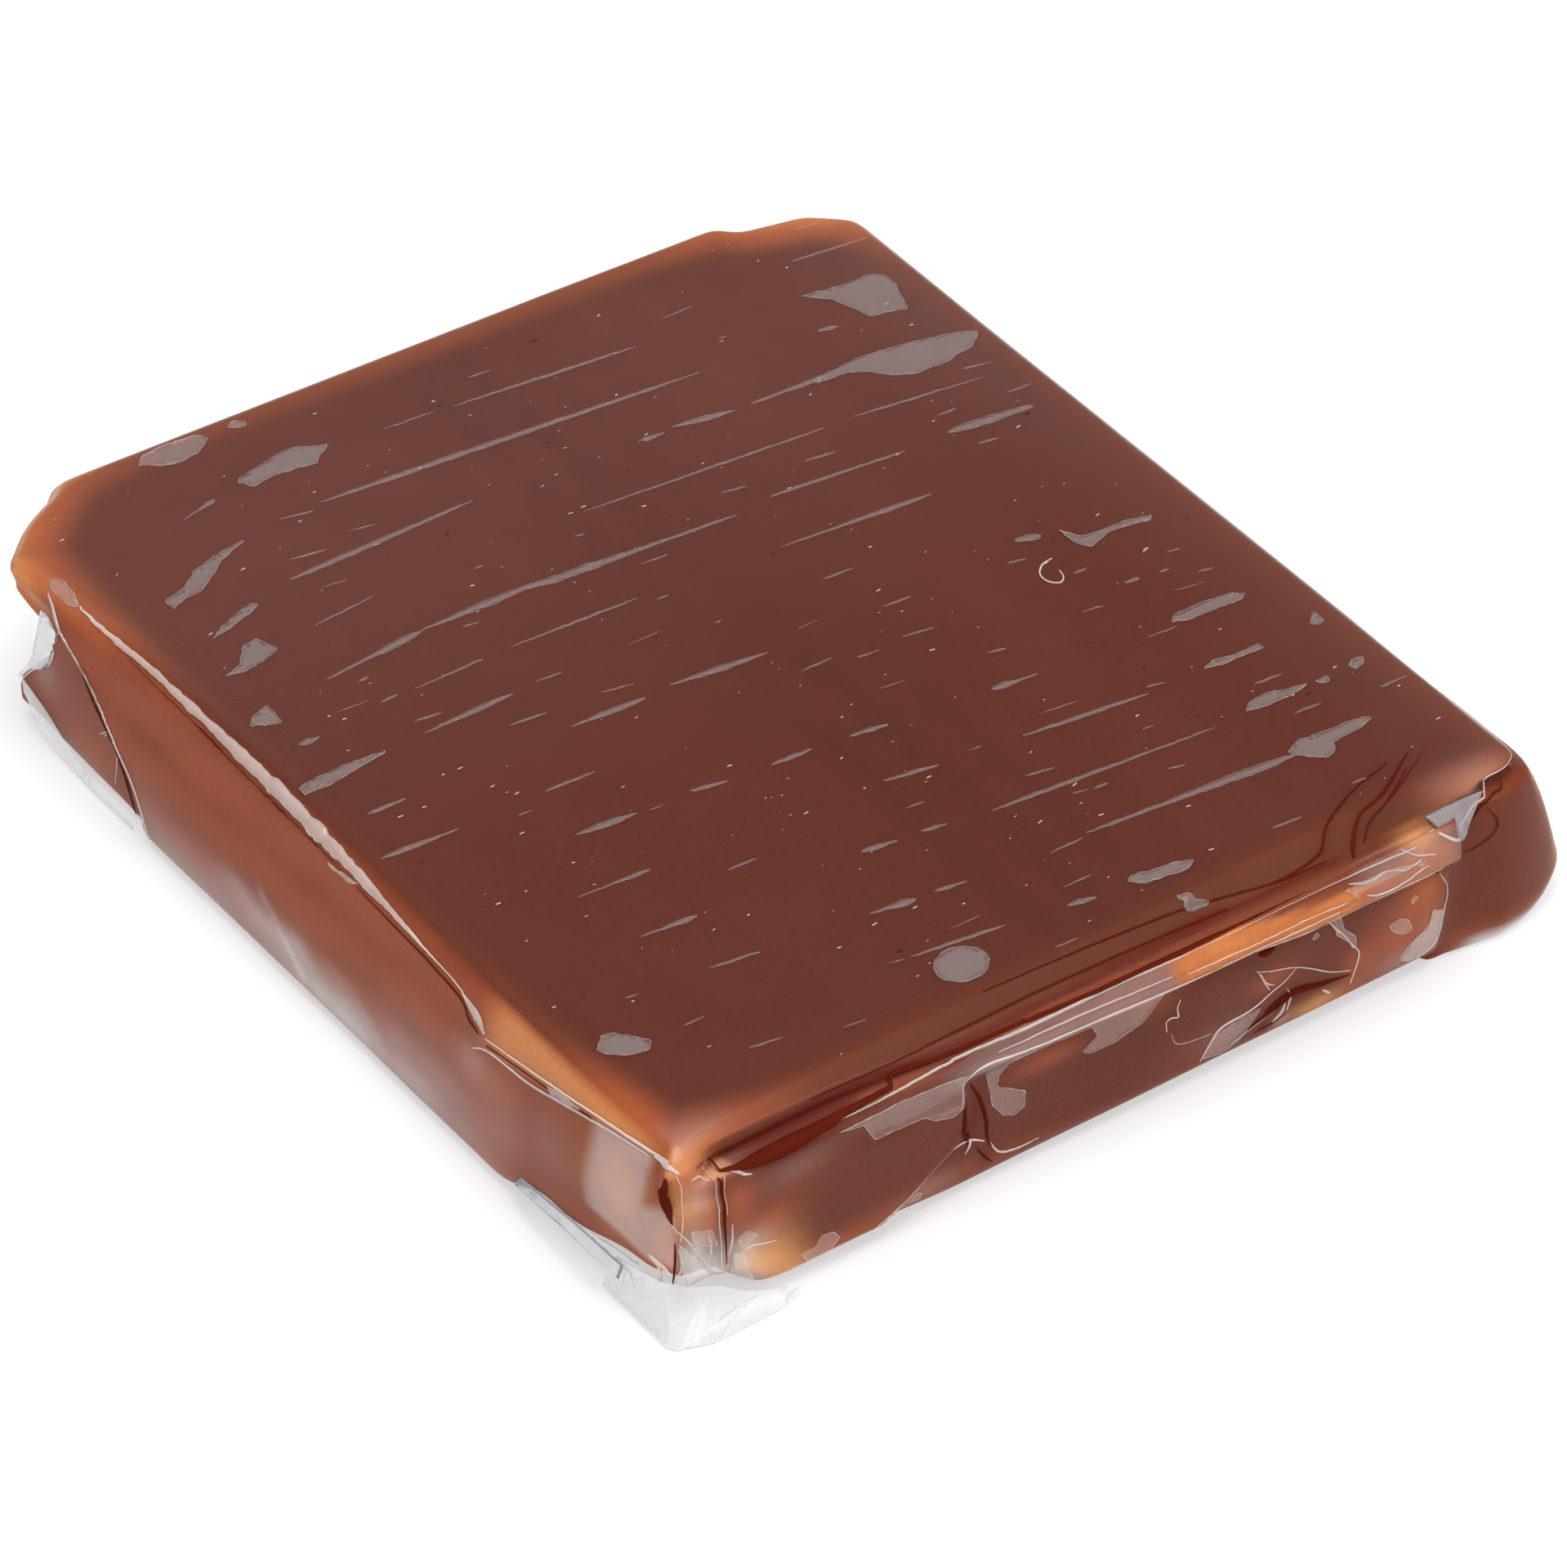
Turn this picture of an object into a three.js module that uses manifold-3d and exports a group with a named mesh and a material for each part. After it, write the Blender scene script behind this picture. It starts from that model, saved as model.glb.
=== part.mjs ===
// A chocolate caramel in a tightly folded clear wrapper: one closed solid out to the film.
// Millimetres, +Z up. The slab lies flat, its folded ends face -Y and +Y.
import * as THREE from "three";
import { mergeVertices } from "three/addons/utils/BufferGeometryUtils.js";
import Module from "manifold-3d";

const wasm = await Module();
wasm.setup();

// Driving sizes of the slab, from an origin near its middle to each side.
const side = 18.4; // the left side; the right side stands a little further out
const near = 20.95;
const far = 22.0;
const height = 7.55;
const topRounding = 1.2;
const footRounding = 0.8;
const crown = 0.06; // rise of the top face at its middle
const waist = 0.12; // depth of the soft waves along the sides
const ringPoints = 132;

// Each end is a little out of square, and the two far corners are cut off.
const nearRadius = 1.2;
const skew = 0.55; // the far edge drifts out by this towards the left, and in towards the right
const leftClip = { alongX: 4.3, alongY: 3.0, foot: 2.6, radius: 0.8 };
const backClip = { alongX: 5.0, alongY: 3.5, dip: 0.8, radius: 0.7 };

// Film folds, each a thin plate on the slab.
const foldRounding = 0.15;
const sunk = 1.5; // how far a fold's plate reaches into the slab
const ledge = { start: -13.5, end: 14.6, depth: 1.2, thickness: 0.95, top: 6.65 };
const cornerFlap = { inner: -10.6, foot: 0.3, kneeX: -5.2, kneeZ: 3.2, top: 5.9, thickness: 0.6 };
const wideFlap = { start: -4.8, end: 14.9, footEnd: 13.6, foot: 0.5, top: 5.3, thickness: 0.4 };
const tuck = { foot: 11.4, head: 16.9, depth: 0.6 };
const hollow = { start: -11.5, end: -17.2, rise: 1.2, depth: 1.6 };
const fringe = { reachX: 0.12, reachY: 1.0, back: 6.0, side: 3.6, thickness: 0.4 };

// The caramel has spread out of the slab's outline at the foot of the right near corner.
const spread = { reachX: 3.0, reachY: 0.45, length: 12, height: 3.9, rounding: 1.9, inside: 6 };

function toSolid(geometry) {
  const bare = geometry.index ? geometry.toNonIndexed() : geometry.clone();
  bare.deleteAttribute("normal");
  bare.deleteAttribute("uv");
  const merged = mergeVertices(bare, 1e-4);
  const vertProperties = new Float32Array(merged.attributes.position.array);
  const triVerts = new Uint32Array(merged.index.array);
  return new wasm.Manifold(new wasm.Mesh({ numProp: 3, vertProperties, triVerts }));
}

function toGeometry(solid) {
  const mesh = solid.getMesh();
  const geometry = new THREE.BufferGeometry();
  geometry.setAttribute("position", new THREE.BufferAttribute(mesh.vertProperties, 3));
  geometry.setIndex(new THREE.BufferAttribute(mesh.triVerts, 1));
  geometry.computeVertexNormals();
  return geometry;
}

// The plan's corners at one height, anticlockwise from the left near corner.
function planCorners(rise) {
  const right = side + skew;
  const left = side + skew * rise * 0.4;
  const clipX = THREE.MathUtils.lerp(leftClip.foot, leftClip.alongX, rise);
  const clipY = THREE.MathUtils.lerp(leftClip.foot, leftClip.alongY, rise);
  const back = backClip;
  return [
    { x: -side, y: -near, radius: nearRadius },
    { x: side, y: -near, radius: nearRadius },
    { x: right, y: far - back.alongY, radius: back.radius },
    { x: right - back.alongX * 0.35, y: far - back.alongY * 0.55, radius: back.radius },
    { x: right - back.alongX * 0.85, y: far - skew - back.dip, radius: back.radius },
    { x: right - back.alongX, y: far - skew, radius: back.radius },
    { x: clipX - left, y: far + skew, radius: leftClip.radius },
    { x: clipX * 0.45 - left, y: far + skew - clipY * 0.4, radius: leftClip.radius },
    { x: -left, y: far + skew - clipY, radius: leftClip.radius },
  ];
}

function planOutline(rise) {
  const corners = planCorners(rise).map((corner) => ({
    at: new THREE.Vector2(corner.x, corner.y),
    radius: corner.radius,
  }));
  const shape = new THREE.Shape();
  corners.forEach((corner, index) => {
    const previous = corners[(index + corners.length - 1) % corners.length];
    const next = corners[(index + 1) % corners.length];
    const entry = towards(corner, previous);
    const exit = towards(corner, next);
    if (index === 0) {
      shape.moveTo(entry.x, entry.y);
    } else {
      shape.lineTo(entry.x, entry.y);
    }
    shape.quadraticCurveTo(corner.at.x, corner.at.y, exit.x, exit.y);
  });
  shape.closePath();
  return shape.getSpacedPoints(ringPoints).slice(0, ringPoints);
}

// A corner's rounding starts at its radius, or a third of the way along a short edge.
function towards(corner, other) {
  const reach = Math.min(corner.radius, corner.at.distanceTo(other.at) / 3);
  const step = other.at.clone().sub(corner.at).setLength(reach);
  return corner.at.clone().add(step);
}

// Soft waves along the sides, strongest at half height.
function sideWave(index, rise) {
  const turn = (index / ringPoints) * Math.PI * 2;
  const swell = Math.sin(rise * Math.PI);
  return waist * swell * (Math.sin(turn * 5 + 0.8) * 0.6 + Math.sin(turn * 11 + 2.1) * 0.4);
}

// One ring of the slab: the plan at that height, moved in by the inset.
function slabRing(inset, z) {
  const rise = z / height;
  const outline = planOutline(rise);
  return outline.map((point, index) => {
    const before = outline[(index + ringPoints - 1) % ringPoints];
    const after = outline[(index + 1) % ringPoints];
    const inward = new THREE.Vector2(before.y - after.y, after.x - before.x).normalize();
    const moved = point.clone().addScaledVector(inward, inset - sideWave(index, rise));
    return new THREE.Vector3(moved.x, moved.y, z);
  });
}

function slabRings() {
  const rings = [];
  const steps = 4;
  for (let step = 0; step <= steps; step += 1) {
    const angle = (step / steps) * (Math.PI / 2);
    rings.push(slabRing(footRounding * (1 - Math.sin(angle)), footRounding * (1 - Math.cos(angle))));
  }
  for (const rise of [0.3, 0.5, 0.7]) {
    rings.push(slabRing(0, rise * height));
  }
  for (let step = 0; step <= steps; step += 1) {
    const angle = (step / steps) * (Math.PI / 2);
    const z = height - crown - topRounding * (1 - Math.sin(angle));
    rings.push(slabRing(topRounding * (1 - Math.cos(angle)), z));
  }
  const rim = rings[rings.length - 1];
  for (const scale of [0.85, 0.55, 0.25]) {
    const z = height - crown * scale * scale;
    rings.push(rim.map((point) => new THREE.Vector3(point.x * scale, point.y * scale, z)));
  }
  return rings;
}

// A closed skin over a stack of rings, with a flat foot and a top that meets in one point.
function loft(rings, footCentre, topCentre) {
  const vertices = rings.flat().concat(footCentre, topCentre);
  const footIndex = vertices.length - 2;
  const topIndex = vertices.length - 1;
  const lastRing = (rings.length - 1) * ringPoints;
  const faces = [];
  for (let index = 0; index < ringPoints; index += 1) {
    const next = (index + 1) % ringPoints;
    faces.push(footIndex, next, index);
    faces.push(topIndex, lastRing + index, lastRing + next);
    for (let row = 0; row < rings.length - 1; row += 1) {
      const low = row * ringPoints;
      const high = low + ringPoints;
      faces.push(low + index, low + next, high + next);
      faces.push(low + index, high + next, high + index);
    }
  }
  const geometry = new THREE.BufferGeometry().setFromPoints(vertices);
  geometry.setIndex(faces);
  return geometry;
}

function slabSolid() {
  const footCentre = new THREE.Vector3(0, 0, 0);
  const topCentre = new THREE.Vector3(0, 0, height);
  return toSolid(loft(slabRings(), footCentre, topCentre));
}

function plate(points, thickness, bevel) {
  const shape = new THREE.Shape(points.map(([across, up]) => new THREE.Vector2(across, up)));
  return new THREE.ExtrudeGeometry(shape, {
    depth: thickness - 2 * bevel,
    bevelEnabled: true,
    bevelThickness: bevel,
    bevelSize: bevel,
    bevelOffset: -bevel,
    bevelSegments: 2,
  }).translate(0, 0, bevel);
}

// A plate drawn in X and Z that lies on the near end, with its face this far out of the slab.
function endPlate(points, proud) {
  const thickness = sunk + proud;
  const geometry = plate(points, thickness, foldRounding);
  geometry.rotateX(Math.PI / 2);
  geometry.translate(0, sunk - near, 0);
  return toSolid(geometry);
}

// The corner flap folds in from the left and ends in a slanting edge.
function cornerFlapSolid() {
  const left = nearRadius * 0.3 - side;
  const flap = cornerFlap;
  const points = [
    [left, flap.foot],
    [flap.inner, flap.foot],
    [flap.kneeX, flap.kneeZ],
    [flap.kneeX, flap.top],
    [left, flap.top],
  ];
  return endPlate(points, flap.thickness);
}

// The wide flap closes the end, and stops short of the bulging corner.
function wideFlapSolid() {
  const flap = wideFlap;
  const points = [
    [flap.start, flap.foot],
    [flap.footEnd, flap.foot],
    [flap.end, flap.top * 0.6],
    [flap.footEnd, flap.top],
    [flap.start, flap.top],
  ];
  return endPlate(points, flap.thickness);
}

// The ledge where the end is folded over below the top edge; it widens to the right.
function ledgeSolid() {
  const points = [
    [ledge.start, sunk - near],
    [ledge.start, -near],
    [THREE.MathUtils.lerp(ledge.start, ledge.end, 0.3), -near - ledge.depth * 0.55],
    [THREE.MathUtils.lerp(ledge.start, ledge.end, 0.85), -near - ledge.depth],
    [ledge.end, -near - ledge.depth * 0.7],
    [ledge.end + 1, sunk - near],
  ];
  const geometry = plate(points, ledge.thickness, foldRounding * 2);
  return toSolid(geometry.translate(0, 0, ledge.top - ledge.thickness));
}

// The thin fringe of film round the foot of the left near corner.
function fringeSolid() {
  const x = -side;
  const y = -near;
  const points = [
    [x + sunk, y + sunk],
    [x + sunk, y + fringe.side],
    [x, y + fringe.side],
    [x - fringe.reachX, y + fringe.side * 0.85],
    [x - fringe.reachX, y - fringe.reachY * 0.3],
    [x + fringe.back * 0.3, y - fringe.reachY],
    [x + fringe.back * 0.65, y - fringe.reachY * 0.9],
    [x + fringe.back, y],
    [x + fringe.back, y + sunk],
  ];
  return toSolid(plate(points, fringe.thickness, fringe.thickness / 4));
}

// The wedge that the tucked fold leaves at the far end of the left side.
function tuckSolid() {
  const beyond = far + 2;
  const ceiling = height - topRounding;
  const points = [
    [tuck.foot, -1],
    [beyond, -1],
    [beyond, ceiling],
    [tuck.head, ceiling],
  ];
  return sideWedge(points, tuck.depth);
}

// The hollow under the left side, where the film spans clear of the surface.
function hollowSolid() {
  const points = [
    [hollow.end, -1],
    [hollow.start, -1],
    [hollow.start, 0],
    [hollow.end, hollow.rise],
  ];
  return sideWedge(points, hollow.depth);
}

// A wedge drawn in Y and Z that cuts this deep into the left side.
function sideWedge(points, depth) {
  const shape = new THREE.Shape(points.map(([along, up]) => new THREE.Vector2(along, up)));
  const geometry = new THREE.ExtrudeGeometry(shape, { depth: depth + 1, bevelEnabled: false });
  geometry.rotateX(Math.PI / 2);
  geometry.rotateZ(Math.PI / 2);
  geometry.translate(-side - 1, 0, 0);
  return toSolid(geometry);
}

// The spread corner: a round-edged tongue that turns the corner and dies away along the side.
function spreadSolid() {
  const x = side + spread.reachX;
  const y = -near - spread.reachY;
  const shape = new THREE.Shape();
  shape.moveTo(side - spread.inside, y);
  shape.lineTo(side - 1, y);
  shape.quadraticCurveTo(x, y, x, y + spread.length * 0.25);
  shape.quadraticCurveTo(x, y + spread.length * 0.6, side - 1, y + spread.length);
  shape.lineTo(side - spread.inside, y + spread.length);
  const geometry = new THREE.ExtrudeGeometry(shape, {
    depth: spread.height - 2 * spread.rounding,
    curveSegments: 8,
    bevelEnabled: true,
    bevelThickness: spread.rounding,
    bevelSize: spread.rounding,
    bevelOffset: -spread.rounding,
    bevelSegments: 5,
  });
  return toSolid(geometry.translate(0, 0, spread.rounding));
}

// The far end is folded like the near one: turned half round, and as much askew as that end is.
function atFarEnd(solid) {
  const askew = THREE.MathUtils.radToDeg(Math.atan(skew / side));
  return solid.rotate([0, 0, 180 - askew]).translate([0, far - near, 0]);
}

function wrappedCaramel() {
  const geometry = toGeometry(
    slabSolid()
      .subtract(tuckSolid())
      .subtract(hollowSolid())
      .add(spreadSolid())
      .add(cornerFlapSolid())
      .add(wideFlapSolid())
      .add(ledgeSolid())
      .add(fringeSolid())
      .add(atFarEnd(wideFlapSolid())),
  );
  const material = new THREE.MeshStandardMaterial({ color: 0x6e3a2a, roughness: 0.22, metalness: 0 });
  const mesh = new THREE.Mesh(geometry, material);
  mesh.name = "wrapped_caramel";
  return mesh;
}

// The object's origin is the middle of its box, on the surface it lies on.
function centred(mesh) {
  mesh.geometry.computeBoundingBox();
  const middle = mesh.geometry.boundingBox.getCenter(new THREE.Vector3());
  mesh.geometry.translate(-middle.x, -middle.y, -mesh.geometry.boundingBox.min.z);
  return mesh;
}

const model = new THREE.Group();
model.add(centred(wrappedCaramel()));

export default model;
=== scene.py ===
import bpy
import math
import random
import numpy as np
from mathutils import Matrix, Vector
from mathutils.bvhtree import BVHTree
from mathutils.geometry import delaunay_2d_cdt


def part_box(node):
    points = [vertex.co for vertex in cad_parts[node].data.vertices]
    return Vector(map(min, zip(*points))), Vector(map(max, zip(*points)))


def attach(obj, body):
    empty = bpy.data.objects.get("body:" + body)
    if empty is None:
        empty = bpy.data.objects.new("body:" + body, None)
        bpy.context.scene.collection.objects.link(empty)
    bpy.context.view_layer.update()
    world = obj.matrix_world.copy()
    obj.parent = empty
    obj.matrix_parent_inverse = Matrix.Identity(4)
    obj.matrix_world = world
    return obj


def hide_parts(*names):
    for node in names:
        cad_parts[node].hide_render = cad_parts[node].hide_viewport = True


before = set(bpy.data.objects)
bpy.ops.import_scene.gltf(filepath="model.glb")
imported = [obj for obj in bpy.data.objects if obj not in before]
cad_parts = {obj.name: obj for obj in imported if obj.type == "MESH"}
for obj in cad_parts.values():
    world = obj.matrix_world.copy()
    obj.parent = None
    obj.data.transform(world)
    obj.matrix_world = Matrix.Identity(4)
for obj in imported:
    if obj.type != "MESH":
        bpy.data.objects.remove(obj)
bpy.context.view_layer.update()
boxLow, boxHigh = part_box("wrapped_caramel")
mm = 0.001

# The slab's own sizes in millimetres, as the solid has them.
slab = {
    "side": 18.4,
    "near": 20.95,
    "far": 22.0,
    "height": 7.55,
    "topRounding": 1.15,
    "footRounding": 0.8,
    "crown": 0.06,
    "skew": 0.55,
    "nearRadius": 1.2,
    "leftClip": {"alongX": 4.3, "alongY": 3.0, "foot": 2.6, "radius": 0.8},
    "backClip": {"alongX": 5.0, "alongY": 3.5, "dip": 0.8, "radius": 0.7},
    "lobeReach": 3.0,
    "ledgeDepth": 1.2,
}
originX = boxHigh.x / mm - slab["side"] - slab["lobeReach"]
originY = boxLow.y / mm + slab["near"] + slab["ledgeDepth"]


def toMetres(points):
    return (np.asarray(points, float) + np.array([originX, originY, 0.0])) * mm


# Rises smoothly from 0 to 1 between two values. It falls when the first of them is the higher one.
def ramp(start, end, value):
    t = np.clip((np.asarray(value, float) - start) / (end - start), 0, 1)
    return t * t * (3 - 2 * t)


# Falls smoothly from 1 on both sides of a middle value.
def bell(value, middle, width):
    return np.exp(-(((np.asarray(value, float) - middle) / width) ** 2))


def addObject(name, data):
    made = bpy.data.objects.new(name, data)
    bpy.context.scene.collection.objects.link(made)
    return made


def addMesh(name, points, faces, material):
    made = bpy.data.meshes.new(name)
    made.from_pydata(points, [], faces)
    made.materials.append(material)
    made.shade_smooth()
    return addObject(name, made)


def aim(thing, place, target):
    thing.location = place
    thing.rotation_mode = "QUATERNION"
    thing.rotation_quaternion = (Vector(target) - Vector(place)).to_track_quat("-Z", "Y")


# The camera looks down at the near left corner from far off.
camera = {
    "azimuth": -36.0,
    "elevation": 39.5,
    "distance": 0.2859,
    "lens": 187.7,
    "aside": (-2.056, -3.67, -0.175),
}


def makeCamera(values):
    turn, rise = math.radians(values["azimuth"]), math.radians(values["elevation"])
    back = Vector((math.sin(turn) * math.cos(rise), -math.cos(turn) * math.cos(rise), math.sin(rise)))
    target = (boxLow + boxHigh) / 2 + Vector(values["aside"]) * mm
    data = bpy.data.cameras.new("camera")
    data.lens = values["lens"]
    data.sensor_width = 36
    data.clip_start, data.clip_end = 0.02, 10
    seat = addObject("camera", data)
    aim(seat, target + back * values["distance"], target)
    bpy.context.scene.camera = seat


makeCamera(camera)
print("camera set")


# A node's output, so that shader maths reads as an expression.
class Wire:
    def __init__(self, maker, socket):
        self.maker = maker
        self.socket = socket

    def maths(self, operation, first, second, clamp=False):
        settings = {"operation": operation, "use_clamp": clamp}
        return self.maker.node("ShaderNodeMath", settings, (first, second))

    def __add__(self, other):
        return self.maths("ADD", self, other)

    def __sub__(self, other):
        return self.maths("SUBTRACT", self, other)

    def __rsub__(self, other):
        return self.maths("SUBTRACT", other, self)

    def __mul__(self, other):
        return self.maths("MULTIPLY", self, other)

    def __truediv__(self, other):
        return self.maths("DIVIDE", self, other)

    def __rtruediv__(self, other):
        return self.maths("DIVIDE", other, self)

    def clamped(self):
        return self.maths("ADD", self, 0.0, clamp=True)

    __radd__ = __add__
    __rmul__ = __mul__


def fillRamp(colours, stops):
    while len(colours.elements) < len(stops):
        colours.elements.new(0.5)
    for element, (position, colour) in zip(colours.elements, stops):
        element.position = position
        element.color = (*colour, 1)


# Makes the nodes of a material or of the world.
class Finish:
    def __init__(self, owner):
        self.owner = owner
        owner.use_nodes = True
        self.tree = owner.node_tree
        self.tree.nodes.clear()

    def node(self, kind, settings=None, inputs=(), output=0):
        made = self.tree.nodes.new(kind)
        for key, value in (settings or {}).items():
            if key == "stops":
                fillRamp(made.color_ramp, value)
            else:
                setattr(made, key, value)
        pairs = inputs.items() if isinstance(inputs, dict) else enumerate(inputs)
        for key, value in pairs:
            if isinstance(value, Wire):
                self.tree.links.new(value.socket, made.inputs[key])
            else:
                made.inputs[key].default_value = value
        return Wire(self, made.outputs[output]) if len(made.outputs) else None

    def place(self):
        return self.node("ShaderNodeTexCoord", output="Object")

    def noise(self, vector, scale, detail, roughness=0.5):
        values = {"Vector": vector, "Scale": scale, "Detail": detail, "Roughness": roughness}
        return self.node("ShaderNodeTexNoise", {}, values)

    def attribute(self, name, output="Fac"):
        return self.node("ShaderNodeAttribute", {"attribute_name": name}, output=output)

    def bump(self, height, strength):
        return self.node("ShaderNodeBump", {}, {"Height": height, "Strength": strength, "Distance": 0.2 * mm})

    def finish(self, shader):
        self.node("ShaderNodeOutputMaterial", {}, {"Surface": shader})
        return self.owner


def newFinish(name):
    return Finish(bpy.data.materials.new(name))


# Caramel: its colour is painted on the points, from dark in the thick middle to amber in the thin edges.
caramelLook = {
    "roughness": 0.42,
    "cloudScale": 260,
    "grainScale": 5200,
    "mottle": 0.18,
    "grain": 0.30,
    "relief": 0.05,
    "subsurface": 0.15,
    "spread": 1.2 * mm,
}


def caramelFinish(values):
    look = newFinish("caramel")
    spot = look.place()
    cloud = look.noise(spot, values["cloudScale"], 4, 0.6)
    fine = look.noise(spot, values["grainScale"], 2, 0.6)
    shade = 1 + (cloud - 0.5) * values["mottle"] + (fine - 0.5) * values["grain"]
    painted = {0: look.attribute("paint", "Color"), "Scale": shade}
    return look.finish(look.node("ShaderNodeBsdfPrincipled", {}, {
        "Base Color": look.node("ShaderNodeVectorMath", {"operation": "SCALE"}, painted),
        "Roughness": values["roughness"],
        "Specular IOR Level": 0.08,
        "Subsurface Weight": values["subsurface"],
        "Subsurface Radius": (1.0, 0.35, 0.15),
        "Subsurface Scale": values["spread"],
        "Normal": look.bump(cloud + fine * 0.2, values["relief"]),
    }))


# Film: a clear gloss, with a milky haze where air is under it. On some pieces and in places the haze is
# painted light instead:
# painted highlights and shade on the fold lines, painted highlights on sheet creases, and painted sheen on
# the film.
# The haze is one number for a whole piece, and what a point attribute of the piece adds.
filmLook = {
    "ior": 1.38,
    "gain": 0.45,
    "gloss": None,
    "roughness": 0.05,
    "specular": 0.5,
    "haze": 0.0,
    "veil": None,
    "tint": (0.9, 0.85, 0.84),
    "ripple": 0.15,
    "slowScale": 180,
    "fineScale": 1400,
    "patchScale": 900,
}
filmKinds = {
    "film": {"veil": "veil", "gloss": "gloss"},
    "looseFilm": {"gain": 0.9, "haze": 0.09, "tint": (0.93, 0.96, 1.0)},
    "whiteFilm": {"gain": 0.6, "veil": "crease", "tint": (0.97, 0.985, 1.0)},
    "greyFilm": {"gain": 0.9, "haze": 0.32, "tint": (0.50, 0.47, 0.49)},
    "airPocket": {"gain": 0.3, "haze": 0.04},
    "endPocket": {"gain": 0.08, "haze": 0.055, "tint": (0.86, 0.68, 0.62)},
    "airRim": {"gain": 0.3, "haze": 0.10},
    "clearPanel": {"gain": 0.2, "haze": 0.10, "tint": (0.88, 0.78, 0.76)},
    # painted highlights on the folds, and white specks
    "highlightAndSpeck": {"gain": 0.8, "haze": 0.34, "tint": (0.95, 0.8, 0.74)},
    # pale edges and creases of the film, with a painted glint
    "paleFold": {"gain": 0.7, "haze": 0.18, "tint": (0.95, 0.88, 0.86)},
    # painted shade in the folds and creases, and dark specks
    "shadeAndSpeck": {"gain": 0.1, "haze": 0.85, "tint": (0.10, 0.011, 0.005), "specular": 0.0},
}


def filmFinish(name, values):
    look = newFinish(name)
    spot = look.place()
    slow = look.noise(spot, values["slowScale"], 2)
    fine = look.noise(spot, values["fineScale"], 2, 0.55)
    bump = look.bump(slow + fine * 0.06, values["ripple"])
    gleam = look.node("ShaderNodeFresnel", {}, {"IOR": values["ior"], "Normal": bump}) * values["gain"]
    if values["gloss"]:
        gleam = gleam * look.attribute(values["gloss"])
    haze = values["haze"]
    if values["veil"]:
        haze = look.attribute(values["veil"]) + haze
    haze = (look.noise(spot, values["patchScale"], 3, 0.6) * 0.5 + 0.75) * haze
    surface = look.node("ShaderNodeBsdfPrincipled", {}, {
        "Base Color": (*values["tint"], 1),
        "Metallic": (gleam / (gleam + haze + 0.0001)).clamped(),
        "Roughness": values["roughness"],
        "Specular IOR Level": values["specular"],
        "Normal": bump,
    })
    clear = look.node("ShaderNodeBsdfTransparent")
    return look.finish(look.node("ShaderNodeMixShader", {}, ((gleam + haze).clamped(), clear, surface)))


materials = {name: filmFinish(name, dict(filmLook, **changes)) for name, changes in filmKinds.items()}
materials["caramel"] = caramelFinish(caramelLook)
print("finishes made")


# The slab's plan at one height, anticlockwise from the left near corner, as the solid has it.
def planCorners(rise):
    side, far, skew = slab["side"], slab["far"], slab["skew"]
    cut, back = slab["leftClip"], slab["backClip"]
    right = side + skew
    left = side + skew * rise * 0.4
    clipX = cut["foot"] + (cut["alongX"] - cut["foot"]) * rise
    clipY = cut["foot"] + (cut["alongY"] - cut["foot"]) * rise
    return [
        (-side, -slab["near"], slab["nearRadius"]),
        (side, -slab["near"], slab["nearRadius"]),
        (right, far - back["alongY"], back["radius"]),
        (right - back["alongX"] * 0.35, far - back["alongY"] * 0.55, back["radius"]),
        (right - back["alongX"] * 0.85, far - skew - back["dip"], back["radius"]),
        (right - back["alongX"], far - skew, back["radius"]),
        (clipX - left, far + skew, cut["radius"]),
        (clipX * 0.45 - left, far + skew - clipY * 0.4, cut["radius"]),
        (-left, far + skew - clipY, cut["radius"]),
    ]


mesh = {
    "cornerPoints": 8,
    "edgePoints": [240, 110, 6, 12, 5, 100, 8, 8, 240],  # one number for each edge of the plan
    "footRows": 7,
    "lowRows": 22,
    "foldRows": 24,
    "roundRows": 13,
    "softRows": 9,
    "rimRows": 18,
    "middleRows": 12,
    "underRows": 8,
    "foldStart": 4.9,  # height from which the rows lie closer, for the folds
    "rimScale": 0.82,  # share of the outline at which the rim's close rows end
    "poleScale": 0.02,
    "underScale": 0.97,
}


def planRing(rise, inset):
    corners = planCorners(rise)
    count = len(corners)
    spots = np.array([corner[:2] for corner in corners])
    run = np.roll(spots, -1, axis=0) - spots
    inward = np.stack([-run[:, 1], run[:, 0]], axis=1)
    inward /= np.linalg.norm(inward, axis=1, keepdims=True)
    before = np.roll(inward, 1, axis=0)
    spots = spots + (inward + before) * inset / (1 + (inward * before).sum(axis=1, keepdims=True))
    entries, exits = [], []
    for i in range(count):
        radius = max(corners[i][2] - 0.8 * inset, 0.35)
        for other, store in ((spots[i - 1], entries), (spots[(i + 1) % count], exits)):
            step = other - spots[i]
            length = np.linalg.norm(step)
            store.append(spots[i] + step / length * min(radius, length / 3))
    ring = []
    for i in range(count):
        t = np.linspace(0, 1, mesh["cornerPoints"], endpoint=False)[:, None]
        ring.append(entries[i] * (1 - t) ** 2 + spots[i] * 2 * t * (1 - t) + exits[i] * t ** 2)
        t = np.linspace(0, 1, mesh["edgePoints"][i], endpoint=False)[:, None]
        ring.append(exits[i] * (1 - t) + entries[(i + 1) % count] * t)
    return np.concatenate(ring)


def outwardPlan(ring):
    run = np.roll(ring, -1, axis=0) - np.roll(ring, 1, axis=0)
    out = np.stack([run[:, 1], -run[:, 0]], axis=1)
    return out / np.linalg.norm(out, axis=1, keepdims=True)


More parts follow.
